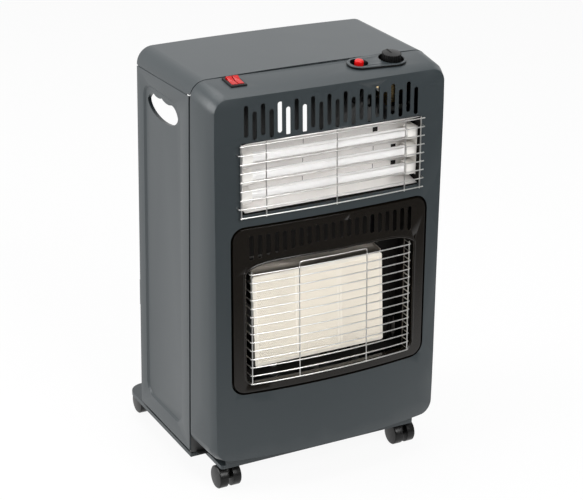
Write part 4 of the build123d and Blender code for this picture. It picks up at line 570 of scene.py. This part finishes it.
def lowerGuardPaths(guard):
    for index in range(guard["bars"]):
        z = guard["low"] + (guard["high"] - guard["low"]) * index / (guard["bars"] - 1)
        yield inMetres([(-guard["half"], guard["inside"], z), (-guard["half"], -guard["stand"], z),
                        (guard["half"], -guard["stand"], z), (guard["half"], guard["inside"], z)])
    for x in guard["rods"]:
        yield inMetres([(x, -guard["rodStand"], guard["rodLow"]), (x, -guard["rodStand"], guard["rodHigh"])])
    hoop, stand = guard["hoopHalf"], -guard["rodStand"]
    yield inMetres([(-hoop, stand, guard["low"]), (-hoop, stand, guard["hoopTop"]),
                    (hoop, stand, guard["hoopTop"]), (hoop, stand, guard["low"])])


def innerRodPaths(guard):
    for x in (-guard["half"], guard["half"]):
        yield inMetres([(x, guard["inside"], guard["rodLow"]), (x, guard["inside"], guard["rodHigh"])])


def makeGuard(name, paths, guard, finish, nodes, sharp=50):
    mesh = grown(pathMesh(paths), wireOnFace, finish, {**frontFace, "Radius": guard["radius"] * mm})
    mesh.shade_smooth()
    mesh.set_sharp_from_angle(angle=radians(sharp))
    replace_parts(placePiece(mesh, name, None, "cabinet", "wire_chrome"), *nodes)


makeGuard("upperBars", upperGuardPaths(upperGuard), upperGuard, brightWire, ["upper_guard"])
makeGuard("lowerBars", lowerGuardPaths(lowerGuard), lowerGuard, brightWire, ["lower_guard"])
# the end rods behind the bars get the dark wire as painted shade
makeGuard("lowerInnerRods", innerRodPaths(lowerGuard), lowerGuard, shadeDarkWire, ["lower_guard_ends"])

# ---- rounded lip of the bezel round its arched window
archLip = {"half": 160, "low": 205, "end": 403, "middle": 418, "bend": 16, "inset": 1.4, "depth": 0.5,
           "radius": 2.2, "steps": 32, "cornerSteps": 6, "fillet": 5, "shoulder": 13.5, "swell": 1.5,
           "fade": 8, "reach": 9, "above": 2.5}


def shoulderLift(lip, x):
    # the arch is fuller than a plain bow towards its ends
    out = min(1, abs(x) / lip["half"])
    return lip["shoulder"] * out ** lip["swell"] * (1 - out ** lip["fade"])


def fillShoulders(piece, lip):
    # raised points also move back, because the face leans that way
    for vert in piece.data.vertices:
        x, z = vert.co.x / mm, vert.co.z / mm
        share = 1 - (x / lip["half"]) ** 2
        arch = lip["end"] + (lip["middle"] - lip["end"]) * share
        if share > 0 and lip["end"] - lip["reach"] < z < arch + lip["above"]:
            lift = shoulderLift(lip, x)
            lean = frontFace["Side Gain"] + frontFace["Bow Gain"] * share
            vert.co.z += lift * mm
            vert.co.y += lift * lean / frontFace["Front Height"] * mm


fillShoulders(bpy.data.objects["enamelBezel"], archLip)

# ---- painted shade in the groove between the front panel and the bezel: its inner faces get black enamel
grooveShadeArea = {"half": 198, "low": 176, "high": 496, "depth": 0.8}


def paintGrooveShade(piece, area):
    mesh = piece.data
    mesh.materials.append(blackEnamelAndShade)
    for face in mesh.polygons:
        x, y, z = face.center
        inside = abs(x) < area["half"] * mm and area["low"] * mm < z < area["high"] * mm
        face.material_index = int(inside and y > skinY(x, z) + area["depth"] * mm)


paintGrooveShade(bpy.data.objects["frontPanelSkin"], grooveShadeArea)


def archPath(lip):
    side, low, bend = lip["half"] - lip["inset"], lip["low"] + lip["inset"], lip["bend"]
    rise = lip["middle"] - lip["end"]
    for sign in (-1, 1):
        for step in range(lip["cornerSteps"] + 1):
            angle = pi / 2 * step / lip["cornerSteps"]
            across = sin(angle) if sign > 0 else cos(angle)
            lift = cos(angle) if sign > 0 else sin(angle)
            yield sign * (side - bend + bend * across), lip["depth"], low + bend - bend * lift
    for step in range(lip["steps"] + 1):
        share = 1 - 2 * step / lip["steps"]
        height = lip["end"] - lip["inset"] + rise * (1 - share * share)
        yield side * share, lip["depth"], height + shoulderLift(lip, side * share)


lipMesh = grown(pathMesh([inMetres(archPath(archLip))], closed=True), wireOnFace, blackEnamelAndShade,
                {**frontFace, "Radius": archLip["radius"] * mm, "Bend": archLip["fillet"] * mm})
lipMesh.shade_smooth()
placePiece(lipMesh, "bezelLip", None, "cabinet", "enamel")

# ---- resistance wire inside the quartz tubes
coils = {"heights": (587, 556, 525), "y": seamY - 56, "left": -146.0, "right": 154.0, "radius": 0.4,
         "coil": 4.9, "pitch": 3.0}
coilLines = [inMetres([(coils["left"], coils["y"], z), (coils["right"], coils["y"], z)])
             for z in coils["heights"]]
coilMesh = grown(pathMesh(coilLines), woundCoil, coilWire, {
    "Radius": coils["radius"] * mm, "Coil": coils["coil"] * mm, "Pitch": coils["pitch"] * mm})
coilMesh.shade_smooth()
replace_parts(placePiece(coilMesh, "woundWire", None, "cabinet", "coil_wire"), "heating_coils")
print("wires, lip and coils grown")

# ---- pierced ceramic plaques
plaque = {"count": 3, "width": 78.8, "height": 148.0, "thick": 13.0, "joint": 0.4, "tilt": 5.6,
          "y": seamY - 45.5, "z": 293.0, "pitch": 3.2, "hole": 0.88, "plate": 1.6, "proud": 0.05,
          "sideStrip": 4.2, "endStrip": 2.6}


def addBox(work, low, high):
    place = Matrix.Translation([(a + b) / 2 * mm for a, b in zip(low, high)])
    size = Matrix.Diagonal([(b - a) * mm for a, b in zip(low, high)] + [1])
    bmesh.ops.create_cube(work, size=1, matrix=place @ size)


def plaqueMesh(spec):
    # drawn lying on its back: x across, y up the plaque, z out of its face
    row = spec["pitch"] * sqrt(3) / 2
    columns = int((spec["width"] - spec["sideStrip"]) / spec["pitch"])
    rows = int((spec["height"] - spec["endStrip"]) / row)
    points = [((column - (columns - 1) / 2 + (line % 2 - 0.5) / 2) * spec["pitch"],
               (line - (rows - 1) / 2) * row, -spec["proud"])
              for line in range(rows) for column in range(columns)]
    mesh = grown(pathMesh([[point] for point in inMetres(points)]), piercedPlate, plaqueClay, {
        "Pitch": spec["pitch"] * mm, "Hole": spec["hole"] * mm,
        "Thickness": (spec["plate"] - spec["proud"]) * mm})
    wide, tall = spec["width"] / 2, spec["height"] / 2
    side, end, depth = wide - spec["sideStrip"], tall - spec["endStrip"], -spec["plate"]
    work = bmesh.new()
    work.from_mesh(mesh)
    addBox(work, (-wide, -tall, -spec["thick"]), (wide, tall, depth))
    for low, high in (((-wide, -tall), (-side, tall)), ((side, -tall), (wide, tall)),
                      ((-side, -tall), (side, -end)), ((-side, end), (side, tall))):
        addBox(work, (*low, depth), (*high, 0))
    for face in work.faces:
        face.material_index = 0
    work.to_mesh(mesh)
    work.free()
    mesh.materials.clear()
    mesh.materials.append(plaqueClay)
    return mesh


lying = plaqueMesh(plaque)
for index in range(plaque["count"]):
    across = (index - (plaque["count"] - 1) / 2) * (plaque["width"] + plaque["joint"])
    stands = Matrix.Translation([across * mm, plaque["y"] * mm, plaque["z"] * mm])
    leaned = stands @ Matrix.Rotation(radians(90 - plaque["tilt"]), 4, "X")
    mesh = lying.copy()
    mesh.transform(leaned)
    piece = placePiece(mesh, f"piercedPlaque{index + 1}", None, "cabinet", "plaque_ceramic")
    if index == 0:
        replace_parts(piece, "ceramic_plaques")

# ---- slots and seams in the reflector's back: the slots are black patches, painted shade in place of openings, and the seams are dark joints
reflectorBack = {"y": -120.45, "proud": 0.35, "slots": ((101, 592.5), (137, 557.5), (138, 529.5)),
                 "slot": (9, 8), "seams": (-32.6, 98.6), "seam": 0.8, "low": 516, "high": 603}


def slotShadeAndSeams(back):
    work = bmesh.new()
    near, far = back["y"] - back["proud"], back["y"]
    wide, tall = (value / 2 for value in back["slot"])
    for x, z in back["slots"]:
        addBox(work, (x - wide, near, z - tall), (x + wide, far, z + tall))
    for x in back["seams"]:
        addBox(work, (x - back["seam"] / 2, near + back["proud"] / 2, back["low"]),
               (x + back["seam"] / 2, far, back["high"]))
    mesh = bpy.data.meshes.new("reflectorSlotShadeAndSeams")
    work.to_mesh(mesh)
    work.free()
    return mesh


placePiece(slotShadeAndSeams(reflectorBack), "reflectorSlotShadeAndSeams", blackSheetAndShade, "cabinet", slotOf("reflector"))
print("plaques pierced")

# ---- camera at the photograph's angle
cameraSettings = {"azimuth": -28.666, "elevation": 23.233, "roll": 1.234, "lens": 110.33,
                  "place": (-1.3377, -2.47665, 1.55835), "sensor": 36, "clip": (0.1, 60)}


def makeCamera(settings):
    azimuth, elevation, roll = (radians(settings[key]) for key in ("azimuth", "elevation", "roll"))
    back = Vector((sin(azimuth) * cos(elevation), -cos(azimuth) * cos(elevation), sin(elevation)))
    right = (-back).cross(Vector((0, 0, 1))).normalized()
    up = right.cross(-back)
    turnedRight = cos(roll) * right + sin(roll) * up
    turnedUp = cos(roll) * up - sin(roll) * right
    camera = bpy.data.objects.new("photoCamera", bpy.data.cameras.new("photoCamera"))
    camera.data.lens = settings["lens"]
    camera.data.sensor_width = settings["sensor"]
    camera.data.clip_start, camera.data.clip_end = settings["clip"]
    turn = Matrix((turnedRight, turnedUp, back)).transposed().to_4x4()
    camera.matrix_world = Matrix.Translation(settings["place"]) @ turn
    bpy.context.scene.collection.objects.link(camera)
    bpy.context.scene.camera = camera


makeCamera(cameraSettings)

# ---- studio: a white backdrop behind and at the sides, a dimmer room in front
studio = {
    "lamps": {
        "sideSoftbox": ((-3.4, 0.6, 1.8), (2.6, 2.6), 116),
        "topSoftbox": ((-0.2, 0.4, 3.4), (2.6, 2.6), 62),
        "frontSoftbox": ((0.6, -3.4, 2.6), (2.2, 1.6), 125),
    },
    "aim": (0, 0, 0.38),
    "ambient": 0.25,
    "backdrop": 1.05,
    "room": 0.03,
    "airFront": (-0.6, 0.3),
    "paperShow": 0.92,
    "paperFront": (-1.15, -0.1),
    "paperReach": 12,
    "paperColor": (0.80, 0.80, 0.80, 1),
}
white = (1, 1, 1, 1)


def lensRays(tree):
    # the first is 1 for rays from the lens, also through glass, and the second for mirrored rays
    rays = addNode(tree, "ShaderNodeLightPath").outputs
    return maths(tree, "MAXIMUM", rays["Is Camera Ray"], rays["Is Transmission Ray"]), rays["Is Glossy Ray"]


def blendOf(tree, share, low, high):
    return addNode(tree, "ShaderNodeMix", {0: share, 2: low, 3: high}, data_type="FLOAT").outputs[0]


def rampOf(tree, value, start, end):
    return addNode(tree, "ShaderNodeMapRange", {
        "Value": value, "From Min": start, "From Max": end}, interpolation_type="SMOOTHSTEP").outputs[0]


def makeStudio(settings):
    for name, (place, size, power) in settings["lamps"].items():
        lamp = bpy.data.lights.new(name, "AREA")
        lamp.shape = "RECTANGLE"
        lamp.size, lamp.size_y = size
        lamp.energy = power
        holder = bpy.data.objects.new(name, lamp)
        holder.location = place
        holder.rotation_euler = (Vector(settings["aim"]) - Vector(place)).to_track_quat("-Z", "Y").to_euler()
        bpy.context.scene.collection.objects.link(holder)
    world = bpy.data.worlds.new("studioAir")
    bpy.context.scene.world = world
    world.use_nodes = True
    tree = world.node_tree
    tree.nodes.clear()
    lens, gloss = lensRays(tree)
    spot = addNode(tree, "ShaderNodeSeparateXYZ", {
        0: addNode(tree, "ShaderNodeTexCoord").outputs["Generated"]})
    shine = blendOf(tree, rampOf(tree, spot.outputs["Y"], *settings["airFront"]),
                    settings["room"], settings["backdrop"])
    strength = blendOf(tree, lens, blendOf(tree, gloss, settings["ambient"], shine), 1.0)
    sky = addNode(tree, "ShaderNodeBackground", {"Color": white, "Strength": strength})
    target = addNode(tree, "ShaderNodeOutputWorld")
    tree.links.new(sky.outputs[0], target.inputs["Surface"])

    paper = bpy.data.materials.new("studioPaper")
    paper.use_nodes = True
    tree = paper.node_tree
    tree.nodes.clear()
    matt = addNode(tree, "ShaderNodeBsdfPrincipled", {
        "Base Color": settings["paperColor"], "Roughness": 0.9})
    lens, gloss = lensRays(tree)
    spot = addNode(tree, "ShaderNodeSeparateXYZ", {0: addNode(tree, "ShaderNodeTexCoord").outputs["Object"]})
    shine = blendOf(tree, rampOf(tree, spot.outputs["Y"], *settings["paperFront"]),
                    settings["room"], settings["backdrop"])
    glow = addNode(tree, "ShaderNodeEmission", {
        "Color": white, "Strength": blendOf(tree, lens, shine, 1.0)})
    share = maths(tree, "MULTIPLY", maths(tree, "MAXIMUM", lens, gloss), settings["paperShow"])
    blend = addNode(tree, "ShaderNodeMixShader", {0: share, 1: matt.outputs[0], 2: glow.outputs[0]})
    target = addNode(tree, "ShaderNodeOutputMaterial")
    tree.links.new(blend.outputs[0], target.inputs["Surface"])
    mesh = bpy.data.meshes.new("studioFloor")
    reach = settings["paperReach"]
    mesh.from_pydata([(-reach, -reach, 0), (reach, -reach, 0), (reach, reach, 0), (-reach, reach, 0)], [],
                     [(0, 1, 2, 3)])
    mesh.materials.append(paper)
    floor = bpy.data.objects.new("studioFloor", mesh)
    bpy.context.scene.collection.objects.link(floor)


makeStudio(studio)
bpy.context.scene.view_settings.view_transform = "Standard"
print("camera and studio set")
